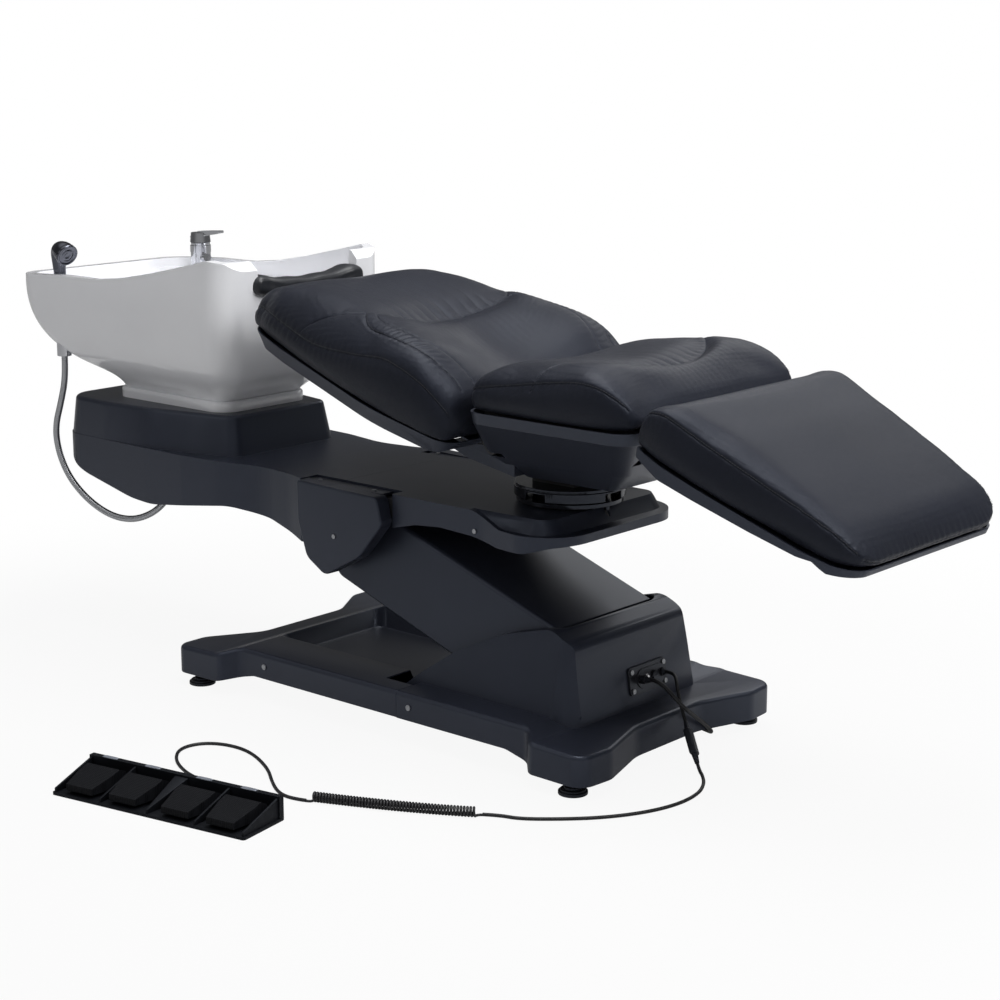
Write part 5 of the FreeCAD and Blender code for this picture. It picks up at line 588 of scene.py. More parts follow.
# %% Cloth swelling
def calmed(mesh, move, times):
    """Each point's move averaged with its neighbours', again and again, so that only broad swelling stays."""
    ends = np.empty(len(mesh.edges) * 2, int)
    mesh.edges.foreach_get("vertices", ends)
    a, b = ends.reshape(-1, 2).T
    many = np.bincount(a, minlength=len(move)) + np.bincount(b, minlength=len(move))
    for _ in range(times):
        total = np.stack([np.bincount(a, move[b, k], len(move)) + np.bincount(b, move[a, k], len(move))
                          for k in range(3)], -1)
        move = 0.5 * move + 0.5 * total / many[:, None]
    return move


def stuffed(name, points, voxel, cap, pressure=4.0, frames=20):
    """Remeshed, swollen and applied mesh, in millimetres, from a closed surface in millimetres."""
    mesh = outward(mesh_of(name, points / 1000))
    piece = bpy.data.objects.new(name, mesh)
    scene.collection.objects.link(piece)
    even = piece.modifiers.new("even", "REMESH")
    even.mode, even.voxel_size, even.use_smooth_shade = "VOXEL", voxel / 1000, True
    graph = bpy.context.evaluated_depsgraph_get()
    remeshed = bpy.data.meshes.new_from_object(piece.evaluated_get(graph))
    piece.modifiers.clear()
    piece.data = remeshed
    count = len(remeshed.vertices)
    start = np.empty(count * 3)
    remeshed.vertices.foreach_get("co", start)
    start = start.reshape(-1, 3)
    floor_z = np.percentile(start[:, 2], 1)
    held = piece.vertex_groups.new(name="held")
    held.add(np.nonzero(start[:, 2] < floor_z + 0.006)[0].tolist(), 1.0, "REPLACE")
    cloth = piece.modifiers.new("swell", "CLOTH")
    cloth.settings.use_pressure, cloth.settings.uniform_pressure_force = True, pressure
    cloth.settings.effector_weights.gravity = 0.0
    cloth.settings.vertex_group_mass = "held"
    cloth.settings.quality = 4
    cloth.point_cache.frame_start, cloth.point_cache.frame_end = 1, frames
    for tick in range(1, frames + 1):
        scene.frame_set(tick)
    graph = bpy.context.evaluated_depsgraph_get()
    swollen = np.empty(count * 3)
    piece.evaluated_get(graph).data.vertices.foreach_get("co", swollen)
    piece.modifiers.clear()
    piece.vertex_groups.clear()
    scene.frame_set(1)
    move = swollen.reshape(-1, 3) - start
    far = np.linalg.norm(move, axis=1, keepdims=True)
    start = start + calmed(remeshed, move * np.minimum(1, cap / 1000 / np.maximum(far, 1e-9)), 40)
    print(name, "swelled by up to", round(float(far.max()) * 1000, 1), "mm, capped at", cap)
    remeshed.vertices.foreach_set("co", start.ravel())
    work = bmesh.new()
    work.from_mesh(remeshed)
    bmesh.ops.subdivide_edges(work, edges=work.edges, cuts=1, use_grid_fill=True, smooth=0.6)
    work.to_mesh(remeshed)
    work.free()
    remeshed.shade_smooth()
    print(name, "faces", len(remeshed.polygons))
    return piece


def points_of(mesh):
    """A mesh's points as millimetres."""
    flat = np.empty(len(mesh.vertices) * 3)
    mesh.vertices.foreach_get("co", flat)
    return flat.reshape(-1, 3) * 1000


def normals_of(mesh):
    """A mesh's point normals."""
    flat = np.empty(len(mesh.vertices) * 3)
    mesh.vertex_normals.foreach_get("vector", flat)
    return flat.reshape(-1, 3)


# %% [markdown]
# ## Seams, folds and pleats
# A seam is a line on the leather where two panels meet: it is pressed into a groove and has a row of
# stitches beside it. Seam lines are laid on the swollen surface, each point's distance to the nearest seam
# is stored on the mesh for the leather's finish, and the groove is pressed in by that distance.

# %% Lines laid on a surface
def even_line(points, step):
    """A polyline smoothed by a cubic through its points and divided into equal steps."""
    given = np.asarray(points, float)
    gone = np.concatenate([[0], np.cumsum(np.linalg.norm(np.diff(given, axis=0), axis=1))])
    many = np.linspace(0, gone[-1], max(8, int(gone[-1] / step) + 1))
    return np.stack([smooth(many, gone, given[:, k]) for k in range(given.shape[1])], -1)


def surface_tree(mesh):
    """Search tree of a mesh, in millimetres."""
    return BVHTree.FromPolygons([tuple(p) for p in points_of(mesh)],
                                [tuple(f.vertices) for f in mesh.polygons])


def pressed(tree, line, from_above=False):
    """A line's points moved to the surface: straight down, or to the nearest place."""
    found = []
    for point in line:
        if from_above:
            hit = tree.ray_cast(Vector((point[0], point[1], 900.0)), Vector((0, 0, -1)))
        else:
            hit = tree.find_nearest(Vector(point))
        if hit[0] is not None:
            found.append((*hit[0], *hit[1]))
    return np.array(found)


def reach_of(points, line, chunk=4000):
    """Distance from each point to the nearest point of a line, and that point's number, by whole blocks."""
    far, which = np.empty(len(points)), np.empty(len(points), int)
    for start in range(0, len(points), chunk):
        gap = np.linalg.norm(points[start:start + chunk, None, :] - line[None, :, :], axis=2)
        which[start:start + chunk] = gap.argmin(1)
        far[start:start + chunk] = gap.min(1)
    return far, which


# %% Stitches
def stitches(name, lines, shift, pitch=5.4, length=3.9, wide=0.85, high=0.6):
    """Rows of small rounded threads beside seam lines; shift is their distance from the seam."""
    turn, along_share = np.meshgrid(np.linspace(0, 2 * math.pi, 6, endpoint=False), np.linspace(-1, 1, 5))
    girth = np.sqrt(np.clip(1 - along_share ** 2 * 0.93, 0, 1))
    thread_form = np.stack([along_share * length / 2, np.cos(turn) * girth * wide / 2,
                            np.sin(turn) * girth * high / 2], -1).reshape(-1, 3)
    index = np.arange(30).reshape(5, 6)
    after = np.roll(index, -1, 1)
    quads = np.stack([index[:-1], after[:-1], after[1:], index[1:]], -1).reshape(-1, 4)
    made, faces, count = [], [], 0
    for line in lines:
        spot, normal = line[:, :3], line[:, 3:]
        gone = np.concatenate([[0], np.cumsum(np.linalg.norm(np.diff(spot, axis=0), axis=1))])
        at = np.arange(pitch, gone[-1] - pitch, pitch)
        centre = np.stack([np.interp(at, gone, spot[:, k]) for k in range(3)], -1)
        ahead = np.stack([np.interp(at + 1, gone, spot[:, k]) for k in range(3)], -1) - centre
        up = np.stack([np.interp(at, gone, normal[:, k]) for k in range(3)], -1)
        ahead /= np.linalg.norm(ahead, axis=1, keepdims=True)
        up /= np.linalg.norm(up, axis=1, keepdims=True)
        aside = np.cross(up, ahead)
        aside /= np.linalg.norm(aside, axis=1, keepdims=True)
        up = np.cross(ahead, aside)
        basis = np.stack([ahead, aside, up], 1)
        offset = (aside * shift + up * 0.12)[:, None, :]
        placed = np.einsum("pk,nkc->npc", thread_form, basis) + centre[:, None, :] + offset
        made.append(placed.reshape(-1, 3))
        for k in range(len(at)):
            faces.append(quads + count + 30 * k)
        count += 30 * len(at)
    mesh = bpy.data.meshes.new(name)
    mesh.from_pydata(np.concatenate(made) / 1000, [], np.concatenate(faces).tolist())
    mesh.shade_smooth()
    mesh.materials.append(thread_finish)
    return mesh, count // 30


# %% [markdown]
# The fold across a cushion is where its rear panel is gathered into the front roll. It is a valley along a
# bowed line, gentle on the panel's side and steep on the roll's. Pleats run into it from the panel: sharp
# little valleys whose depth fades away from the fold. All of it is one height added along the normal.

# %% Folds
def valley(points, line, depth, panel_reach=48.0, roll_reach=20.0, roll_rise=4.0):
    """Height of a bowed valley: a long bell on the panel side, a short one on the roll side, then the roll."""
    x, y = points[:, 0], points[:, 1]
    ahead = x - smooth(np.abs(y), line[0], line[1])
    fade = smooth(np.abs(y), depth[0], depth[1])
    bell = np.where(ahead < 0, np.exp(-(ahead / panel_reach) ** 2), np.exp(-(ahead / roll_reach) ** 2))
    roll = roll_rise * np.exp(-((ahead - 62) / 42) ** 2)
    return fade * (-bell) + roll * np.clip(fade / max(depth[1]), 0, 1), ahead


def pleats(points, ahead, reach, depth, pitch, half, lean=0.0, keep=6.0):
    """Sharp valleys that run into the fold; sin keeps them evenly spaced and slow waves make them uneven."""
    y = points[:, 1] * (1 + 0.0011 * ahead) + lean * ahead
    wave = y + 3.1 * np.sin(y / 31 + 1.3) + 2.2 * np.sin(ahead / 23 + y / 57)
    crest = np.abs(np.sin(math.pi * wave / pitch)) ** 0.75
    gain = 0.65 + 0.35 * np.sin(y / 19 + 0.7)
    along = np.where(ahead < 0, np.exp(ahead / reach) * (1 - np.exp(ahead / keep)), 0)
    side = 1 / (1 + np.exp((np.abs(points[:, 1]) - half) / 9))
    return -depth * gain * along * side * (1 - crest)


def streaks(points, ahead, reach, depth, pitch, half):
    """Fine stretch lines on the roll, shallow and close, fading over its crest."""
    y = points[:, 1] + 0.12 * ahead
    wave = np.sin(2 * math.pi * (y + 2.4 * np.sin(y / 17)) / pitch)
    along = np.where(ahead > 0, np.exp(-((ahead - reach * 0.35) / reach) ** 2), 0)
    return depth * wave * along / (1 + np.exp((np.abs(points[:, 1]) - half) / 12))


def drift(points, height, pitch):
    """Slow unevenness of stuffed leather: three crossed waves."""
    x, y = points[:, 0], points[:, 1]
    return height * (np.sin(x / pitch * 2.1 + y / pitch) + np.sin(y / pitch * 2.7 - x / pitch * 0.8 + 1.1)
                     + np.sin((x + y) / pitch * 3.3 + 2.0)) / 3


# %% [markdown]
# Every cushion is finished the same way: swell, add the folds, lay the seams, press the grooves, store the
# seam distance, and only then move it from its own hinge to its place on the bed.

# %% Finish a cushion
def finished_cushion(name, node, body, surface, shape_more, seam_lines, place, voxel, cap, stitch_side):
    """A swollen leather cushion in place, with its stitches as a second piece."""
    piece = stuffed(name, surface, voxel, cap)
    mesh = piece.data
    points, normals = points_of(mesh), normals_of(mesh)
    upper = np.clip((normals[:, 2] - 0.15) / 0.5, 0, 1)
    points = points + normals * (shape_more(points) * upper)[:, None]
    mesh.vertices.foreach_set("co", (points / 1000).ravel())
    mesh.update()
    tree = surface_tree(mesh)
    laid_lines = [pressed(tree, even_line(line, 3.0), above) for line, above in seam_lines]
    every = np.concatenate([line[:, :3] for line in laid_lines])
    gone = np.concatenate([np.arange(len(line)) * 3.0 for line in laid_lines])
    normals = normals_of(mesh)
    far, which = reach_of(points, every)
    wander = np.sin(gone[which] * 2 * math.pi / 17 + 2 * np.sin(gone[which] / 41))
    pucker = 0.4 * np.exp(-far / 13) * wander * (1 - np.exp(-far / 4))
    points = points + normals * (-1.5 * np.exp(-(far / 3.0) ** 2) + pucker)[:, None]
    mesh.vertices.foreach_set("co", bed(place(points)).ravel())
    # the seam distance drives both the groove's bump and the painted shade along each seam in the leather's
    # colour
    mark = mesh.attributes.new("seam", "FLOAT", "POINT")
    mark.data.foreach_set("value", np.minimum(far / 1000, 0.05).astype(np.float32))
    mesh.materials.clear()
    mesh.materials.append(leather_finish)
    mesh.update()
    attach(piece, body)
    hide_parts(node)
    sewn = []
    for line, side in zip(laid_lines, stitch_side):
        if side:
            sewn.append(line if side > 0 else line[::-1])
    thread_mesh, count = stitches(name + "_stitches", sewn, 2.7)
    co = points_of(thread_mesh)
    thread_mesh.vertices.foreach_set("co", bed(place(co)).ravel())
    thread_piece = bpy.data.objects.new(name + "_stitches", thread_mesh)
    scene.collection.objects.link(thread_piece)
    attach(thread_piece, body)
    print(name, "points", len(points), "stitches", count, "seam points", len(every))
    return piece


def both_sides(line):
    """A line and its mirror across the bed's middle."""
    given = np.asarray(line, float)
    return [given, given * (1, -1, 1)]


def row_line(rows, first, last, seam=3, share=0.985, step=16.0):
    """The side seam of a row table, from one station to another."""
    table = np.array(rows, float)
    x = np.arange(first, last, step)
    return np.stack([x, smooth(x, table[:, 0], table[:, 1]) * share, smooth(x, table[:, 0], table[:, seam])],
                    -1)


# %% [markdown]
# The backrest is the longest cushion. Its head end is flat, its middle sinks between two wings, and a bowed
# fold with long pleats crosses it above the lumbar roll. Inside each wing two seams hold a narrow pleated
# strip between them.

# %% Backrest
back_fold = ((0, 110, 182, 235, 290), (-221, -217, -228, -292, -390))
back_depth = ((0, 120, 170, 200, 232, 290), (11.5, 11.0, 9.0, 4.5, 1.5, 0.5))


def back_shape(points):
    """Fold, pleats and stretch lines, with the gathered strips inside both wings."""
    height, ahead = valley(points, back_fold, back_depth)
    x, aside = points[:, 0], np.abs(points[:, 1])
    strip = np.exp(-((aside - 236) / 20) ** 2) * np.exp(-((x + 75) / 72) ** 2)
    gather = 1 - np.abs(np.sin(math.pi * (x + aside * 0.35 + 2 * np.sin(x / 23)) / 13.5)) ** 0.7
    inner = np.exp(-((aside - 165) / 28) ** 2) * np.exp(-((x + 150) / 60) ** 2)
    fan = 1 - np.abs(np.sin(math.pi * (x * 0.8 + aside * 0.5) / 12.0)) ** 0.8
    return (height + pleats(points, ahead, 66, 5.0, 25, 128) + streaks(points, ahead, 95, 0.12, 17.0, 150)
            + drift(points, 0.8, 90) - 2.2 * strip * gather - 0.8 * inner * fan)


back_side = row_line(back_rows, -505, 60)
back_head = [(-505, -214, -12), (-522, -190, -20), (-527, -110, -21), (-528, 0, -21), (-527, 110, -21),
             (-522, 190, -20),
             (-505, 214, -12)]
fold_run = [(x, y, 0) for y, x in zip((0, 60, 110, 150, 182, 210, 235, 262),
                                      (-221, -218, -217, -219, -228, -255, -292, -345))]
back_cross = np.array([(p[0], -p[1], 0) for p in reversed(fold_run[1:])] + fold_run, float)
strip_inner = [(-228, 182, 0), (-200, 214, 0), (-150, 226, 0), (-95, 224, 0), (-50, 212, 0), (-5, 196, 0),
               (30, 188, 0)]
strip_outer = [(-240, 205, 0), (-195, 242, 0), (-145, 253, 0), (-94, 255, 0), (-39, 249, 0), (11, 236, 0),
               (40, 228, 0)]
back_seams = ([(line, False) for line in both_sides(back_side)] + [(back_head, False), (back_cross, True)]
              + [(line, True) for line in both_sides(strip_inner) + both_sides(strip_outer)])
finished_cushion("backrest_cushion", "back_cushion", "back", cushion_surface(back_rows), back_shape,
                 back_seams,
                 lambda p: laid(p, back_hinge, back_slope), 5.0, 9.0, (-1, 1, -1, 0, 0, 0, -1, 1))

# %% [markdown]
# The seat is shorter and deeper. Its rear panel is flat and its fold bows towards the feet, so that the
# front roll wraps round it like a horseshoe.

# %% Seat
seat_fold = ((0, 60, 135, 176, 205, 262), (490, 487, 464, 436, 412, 380))
seat_depth = ((0, 130, 165, 190, 215, 262), (13.0, 12.0, 9.0, 4.5, 1.5, 0.5))


def seat_shape(points):
    """Fold, pleats and the roll's stretch lines."""
    height, ahead = valley(points, seat_fold, seat_depth, 44.0, 17.0, 3.5)
    return (height + pleats(points, ahead, 50, 4.6, 22, 112) + streaks(points, ahead, 60, 0.12, 15.0, 170)
            + drift(points, 0.7, 80))


seat_side = row_line(seat_rows, 232, 588)
seat_run = [(490, 0, 0), (487, 60, 0), (478, 100, 0), (464, 135, 0), (436, 176, 0), (412, 205, 0),
            (394, 235, 0),
            (382, 258, 0)]
seat_cross = np.array([(p[0], -p[1], 0) for p in reversed(seat_run[1:])] + seat_run, float)
seat_seams = [(line, False) for line in both_sides(seat_side)] + [(seat_cross, True)]
finished_cushion("seat_cushion_leather", "seat_cushion", "seat", cushion_surface(seat_rows), seat_shape,
                 seat_seams,
                 lambda p: p, 5.0, 7.0, (-1, 1, 0))

# %% [markdown]
# The leg rest is one smooth crowned panel with a stitched seam round its edge and a boxed side.

# %% Leg rest
leg_side = row_line(leg_rows, -46, 396)
leg_foot = [(396, 208, 4), (402, 185, 0), (403, 90, 0), (403, 0, 0), (403, -90, 0), (402, -185, 0),
            (396, -208, 4)]
leg_seams = [(line, False) for line in both_sides(leg_side)] + [(leg_foot, False)]
finished_cushion("leg_rest_cushion", "leg_cushion", "leg", cushion_surface(leg_rows),
                 lambda p: drift(p, 0.8, 120), leg_seams, lambda p: laid(p, leg_hinge, leg_slope), 5.0, 6.0,
                 (-1, 1, -1))


# %% [markdown]
# ## Cords
# A free cord is a fixed length of something flexible. Each is a NURBS curve of order three whose control
# points are the route's points, so it rounds its corners by itself. The order is set after the points.

# %% Curves
def route_curve(name, points, radius=0.0):
    """NURBS curve through a route's control points, in place, with a round section."""
    curve = bpy.data.curves.new(name, "CURVE")
    curve.dimensions = "3D"
    spline = curve.splines.new("NURBS")
    spline.points.add(len(points) - 1)
    spots = bed(points)
    spline.points.foreach_set("co", np.concatenate([spots, np.ones((len(spots), 1))], 1).ravel())
    spline.order_u, spline.use_endpoint_u, spline.resolution_u = 3, True, 10
    curve.bevel_depth, curve.bevel_resolution, curve.use_fill_caps = radius / 1000, 4, radius > 0
    return bpy.data.objects.new(name, curve)


def line_of(points):
    """The points of a route's spline, in bed millimetres, read from Blender's own curve."""
    bare = route_curve("route", points)
    mesh = bpy.data.meshes.new_from_object(bare)
    flat = np.empty(len(mesh.vertices) * 3)
    mesh.vertices.foreach_get("co", flat)
    bpy.data.meshes.remove(mesh)
    bpy.data.objects.remove(bare)
    return (flat.reshape(-1, 3) - bed_origin) * 1000


def length_of(line):
    return float(np.linalg.norm(np.diff(line, axis=0), axis=1).sum())


def evenly(line, step):
    """A line divided into equal steps."""
    gone = np.concatenate([[0], np.cumsum(np.linalg.norm(np.diff(line, axis=0), axis=1))])
    at = np.linspace(0, gone[-1], int(round(gone[-1] / step)) + 1)
    return np.stack([np.interp(at, gone, line[:, k]) for k in range(3)], -1)


def tube(name, line, radius, sides=12):
    """Tube mesh along a line: rings square to it and without twist, radius one number or one each."""
    way = np.gradient(line, axis=0)
    way /= np.linalg.norm(way, axis=1, keepdims=True)
    aside = np.empty_like(way)
    first = np.cross(way[0], (0, 0, 1) if abs(way[0, 2]) < 0.9 else (1, 0, 0))
    aside[0] = first / np.linalg.norm(first)
    for k in range(1, len(line)):
        kept = aside[k - 1] - way[k] * (aside[k - 1] @ way[k])
        aside[k] = kept / np.linalg.norm(kept)
    up = np.cross(way, aside)
    turn = np.linspace(0, 2 * math.pi, sides, endpoint=False)
    wide = (np.ones(len(line)) * radius)[:, None, None]
    circle = np.cos(turn)[None, :, None] * aside[:, None, :] + np.sin(turn)[None, :, None] * up[:, None, :]
    rings = line[:, None, :] + wide * circle
    return outward(mesh_of(name, bed(rings)))


def shown(obj, finish, body, slot, *replaced):
    """Links a piece, gives it its finish and lets it ride on a body in place of its CAD nodes."""
    if obj.name not in scene.collection.objects:
        scene.collection.objects.link(obj)
    obj.data.materials.clear()
    obj.data.materials.append(finish)
    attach(obj, body)
    if replaced:
        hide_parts(*replaced)
    return obj


# %% [markdown]
# The foot control's cord leaves its rear edge, bends back on the floor, turns into 52 close curls and ends
# in a plain lead that rises to an inline connector. A last short lead joins the connector to the panel.

# %% Foot control leads
low, lifted = 3.2, 2.4
pedal_route = [(-10.8, -706.9, 9), (-16.0, -677.4, 9), (-48, -648, low), (-105, -637, low), (-165, -607, low),
               (-206, -562, low), (-200, -515, low), (-158, -488, low), (-94, -487, low), (-6, -526, low),
               (57, -574, low), (100, -600, low), (136.0, -606.0, low), (164.2, -595.5, low)]
pedal_cord = shown(route_curve("foot_control_lead", pedal_route, 3.2), cord_finish, "base", "cord_rubber",
                   "pedal_lead")
curl_span = [(172, -586, 9.5), (332, -520.5, 9.5), (432, -457, 9.5)]
curl_axis = evenly(line_of(curl_span), 0.25)
turns, steps_round, coil_radius, wire = 52, 26, 7.1, 2.4
share = np.linspace(0, 1, turns * steps_round + 1)
spot = share * (len(curl_axis) - 1)
axis_line = np.stack([np.interp(spot, np.arange(len(curl_axis)), curl_axis[:, k]) for k in range(3)], -1)
axis_way = np.gradient(axis_line, axis=0)
axis_way /= np.linalg.norm(axis_way, axis=1, keepdims=True)
left = np.stack([-axis_way[:, 1], axis_way[:, 0], np.zeros(len(share))], -1)
angle = -math.pi / 2 + 2 * math.pi * turns * share
sideways, upward = (coil_radius * np.cos(angle))[:, None], (coil_radius * np.sin(angle))[:, None]
helix = axis_line + left * sideways + (0, 0, 1) * upward
print("curls", turns, "helix length mm", round(length_of(helix)))


# %% Curly cord
def eased(start, start_way, end, end_way, count):
    """Cubic from one point and direction to another."""
    t = np.linspace(0, 1, count)[:, None]
    span = np.linalg.norm(np.subtract(end, start)) * 1.1
    return ((2 * t ** 3 - 3 * t ** 2 + 1) * start + (t ** 3 - 2 * t ** 2 + t) * span * start_way
            + (3 * t ** 2 - 2 * t ** 3) * end + (t ** 3 - t ** 2) * span * end_way)


helix_way = np.gradient(helix, axis=0)
helix_way /= np.linalg.norm(helix_way, axis=1, keepdims=True)
curl_start, curl_end = np.array((164.2, -595.5, lifted)), np.array((438.0, -446.0, lifted))
lead_way, tail_way = axis_way[0], axis_way[-1]
curl_line = np.concatenate([eased(curl_start, lead_way, helix[0], helix_way[0], 12)[:-1], helix,
                            eased(helix[-1], helix_way[-1], curl_end, tail_way, 12)[1:]])
curly = shown(bpy.data.objects.new("curly_cord_turns", tube("curly_cord_turns", curl_line, wire, 10)),
              cord_finish, "base",
              "cord_rubber", "curly_cord")
control_route = [(438, -446, low), (463, -430, low), (498, -421, low), (550, -378, low), (600, -326, low),
                 (640, -260, low), (660, -190, low), (656, -125, low), (634, -78, low), (607, -46, low),
                 (589.8, -30.9, 3.3), (578, -22, 13)]
control_cord = shown(route_curve("control_lead_line", control_route, 3.2), cord_finish, "base", "cord_rubber",
                     "control_lead")
socket_route = [(433, 71.3, 133), (447.8, 69.0, 135.5), (470, 56, 136), (487, 38, 122), (497, 33.5, 97),
                (507, 32.5, 73), (518, 24, 64)]
socket_cord = shown(route_curve("socket_lead_line", socket_route, 3.2), cord_finish, "base", "cord_rubber",
                    "socket_lead")
lead_lengths = [round(length_of(line_of(route))) for route in (pedal_route, control_route, socket_route)]
print("leads", lead_lengths, "curly", round(length_of(curl_line)))

# %% [markdown]
# The mains cord leaves its plug in the panel, goes down beside the base and under its front edge, and lies
# behind the bed in a flat coil, where the bed hides it. Sixteen control points a turn keep the coil round;
# the spline runs just inside its control points, so they stand on a slightly larger circle.

# %% Mains cord
# a spline of sixteen points a turn runs at this share of its control points' circle
spline_share = 0.981
mains_low, coil_step, inner, loops = 3.8, 8.4, 45.0, 3
coil_middle = (-20, 380)
mains_route = [(450, 6.4, 136), (473.7, 2.6, 140), (514, 14, 99), (516, 48.5, 72.5), (508, 103, 37),
               (506, 127, 16),
               (478, 149, 8), (425, 172, mains_low), (335, 190, mains_low), (240, 204, mains_low),
               (160, 248, mains_low), (88, 309.8, mains_low)]
half_turns = 4 * loops + 1
t = np.linspace(0, 1, 8 * half_turns + 1)
gone = half_turns * t
climb = np.clip(gone - 2 * loops, 0, 1)
around = -math.pi / 2 - math.pi * gone
spiral = (inner + coil_step / 2 * (np.abs(gone - half_turns / 2) - 0.5)) / spline_share
coil_points = np.stack([coil_middle[0] + spiral * np.cos(around), coil_middle[1] + spiral * np.sin(around),
                        mains_low + coil_step * (1 - np.cos(math.pi * climb)) / 2], -1)
mains_points = np.concatenate([np.array(mains_route, float), [(-2, 309.8, mains_low)], coil_points[1:-1],
                               [(-14, 450.2, 12.2), (10, 450.2, 12.2), (34, 450.2, 12.2)]])
mains = shown(route_curve("mains_cord_line", mains_points.tolist(), 3.8), cord_finish, "base", "cord_rubber",
              "mains_cord", "mains_coil")
print("mains cord mm", round(length_of(line_of(mains_points.tolist()))))

# %% [markdown]
# The shower hose is a steel strip wound into rings that slide in each other. From outside it is a tube
# whose radius dips between rings, so its mesh is a tube with one radius for each ring of points.

# %% Shower hose
hose_route = [(-984, -186, 612), (-984, -186, 566), (-994, -193, 512), (-1012, -198, 455), (-1009, -195, 402),
              (-985, -191, 352), (-944, -186, 314), (-892, -181, 287), (-836, -177, 275), (-782, -168, 279),
              (-738, -150, 302), (-708, -136, 342), (-701, -130, 398.4)]
hose_step, ring_pitch, hose_radius, ring_deep = 0.7, 4.2, 7.0, 0.8
hose_line = evenly(line_of(hose_route), hose_step)
ring_place = np.arange(len(hose_line)) * hose_step / ring_pitch % 1
ring_dip = ring_deep * np.clip(np.abs(ring_place - 0.5) * 2 - 0.55, 0, 1) / 0.45
hose_mesh = tube("shower_hose_rings", hose_line, hose_radius - ring_dip, 14)
hose = shown(bpy.data.objects.new("shower_hose_rings", hose_mesh), hose_finish, "carriage", "hose_metal",
             "shower_hose")
print("hose mm", round(length_of(hose_line)), "rings", int(len(hose_line) * hose_step / ring_pitch))


# %% [markdown]
# ## Neck rest and hand shower
# The neck rest is a soft rubber saddle pressed over the bowl's front rim. Its crest sags a little between
# two flared wings and its skirt hangs down both sides of the rim. Every section across it is a rounded
# rectangle whose width, height and lean change along its length.

# %% Neck rest
def saddle(stations, rows, girth=44, steps=97):
    """Closed surface along Y: at each y a superellipse of given middle, half width, top and bottom."""
    y = np.linspace(stations[0], stations[-1], steps)
    middle, half, top, bottom = (smooth(y, stations, row)[:, None] for row in rows)
    turn = np.linspace(0, 2 * math.pi, girth, endpoint=False)[None, :]
    side = np.sign(np.cos(turn)) * np.abs(np.cos(turn)) ** 0.62
    rise = np.sign(np.sin(turn)) * np.abs(np.sin(turn)) ** 0.62
    end = np.clip((stations[-1] - np.abs(y)) / 9, 0, 1)[:, None]
    drawn = np.sqrt(np.clip(1 - (1 - end) ** 2, 0.02, 1))
    skirt = 1 + 0.16 * np.clip(-rise, 0, 1) * np.abs(np.sin(y[:, None] / 46))
    crease = 1.6 * np.exp(-((rise - 0.25) / 0.12) ** 2) * np.clip(side, 0, 1) * np.cos(y[:, None] / 34) ** 2
    x = middle + (half * side * skirt - crease) * (0.35 + 0.65 * drawn)
    centre = (top + bottom) / 2
    z = centre + (top - bottom) / 2 * rise * (0.55 + 0.45 * drawn)
    return np.stack([x, np.broadcast_to(y[:, None], x.shape), z], -1)


across = (-151, -138, -122, -98, -72, -38, 0, 38, 72, 98, 122, 138, 151)
neck_points = saddle(across, ((-438, -438, -438, -439, -439, -439, -439, -439, -439, -439, -438, -438, -438),
                              (27, 30, 30, 27, 25, 25, 25, 25, 25, 27, 30, 30, 27),
                              (811, 821, 822, 817, 812, 811, 808, 811, 812, 817, 822, 821, 811),
                              (790, 784, 780, 774, 772, 772, 772, 772, 772, 774, 780, 784, 790)))
neck_mesh = outward(mesh_of("neck_rest_saddle", bed(neck_points)))
shown(bpy.data.objects.new("neck_rest_saddle", neck_mesh), neck_finish, "carriage", "neck_rubber", "neck_rest")
print("neck rest points", neck_points.shape)

# %% [markdown]
# The hand shower stands in a sleeve through the bowl's deck. Its stem swells and bends over into a round
# head that looks towards the basin. It is a tube whose radius follows its length, and the spray face is a
# shallow turned disc with a rim.

# %% Hand shower
def turned(name, profile, spot, axis, sides=28):
    """Surface of revolution: radius and distance along the axis, carried round it."""
    along = Vector(axis).normalized()
    first = along.orthogonal().normalized()
    second = along.cross(first)
    frame_rows = np.array([tuple(first), tuple(second), tuple(along)])
    turn = np.linspace(0, 2 * math.pi, sides, endpoint=False)[None, :]
    r, h = (np.array(v, float)[:, None] for v in zip(*profile))
    local = np.stack([r * np.cos(turn), r * np.sin(turn), h * np.ones_like(turn)], -1)
    return outward(mesh_of(name, bed(local @ frame_rows + np.array(spot, float))))


stem = evenly(line_of([(-984, -186, 622), (-984, -186, 700), (-986, -186, 770), (-988, -187, 812),
                       (-983, -188, 838),
                       (-966, -190, 836), (-957, -191, 831)]), 1.5)
stem_share = np.linspace(0, 1, len(stem))
stem_radius = smooth(stem_share, (0, 0.1, 0.55, 0.66, 0.78, 0.88, 0.95, 1.0),
                     (8, 10.6, 10.8, 12.5, 14.5, 18.5, 22.5, 23.2))
stem_mesh = tube("hand_shower_body", stem, stem_radius, 28)
shown(bpy.data.objects.new("hand_shower_body", stem_mesh), dark_chrome_finish, "shower", "dark_chrome",
      "hand_shower")
face_axis = stem[-1] - stem[-6]
face_profile = [(0.6, -3), (22.6, -3), (24.2, -1.5), (24.2, 5.5), (22.8, 7), (20.6, 7), (19.8, 5), (13, 4.4),
                (12.4, 5.6), (7, 5.8), (6.4, 4.6), (0.6, 4.6)]
face_mesh = turned("hand_shower_face", face_profile, stem[-1], face_axis)
shown(bpy.data.objects.new("hand_shower_face", face_mesh), dark_chrome_finish, "shower", "dark_chrome")
print("shower stem mm", round(length_of(stem)))

# %% [markdown]
# Each tread has a small pale plate on the ridge behind it. On this part they are bare. Each is laid on the
# ridge by looking straight down for the model's surface, so it sits flush whatever the ridge's slope is.

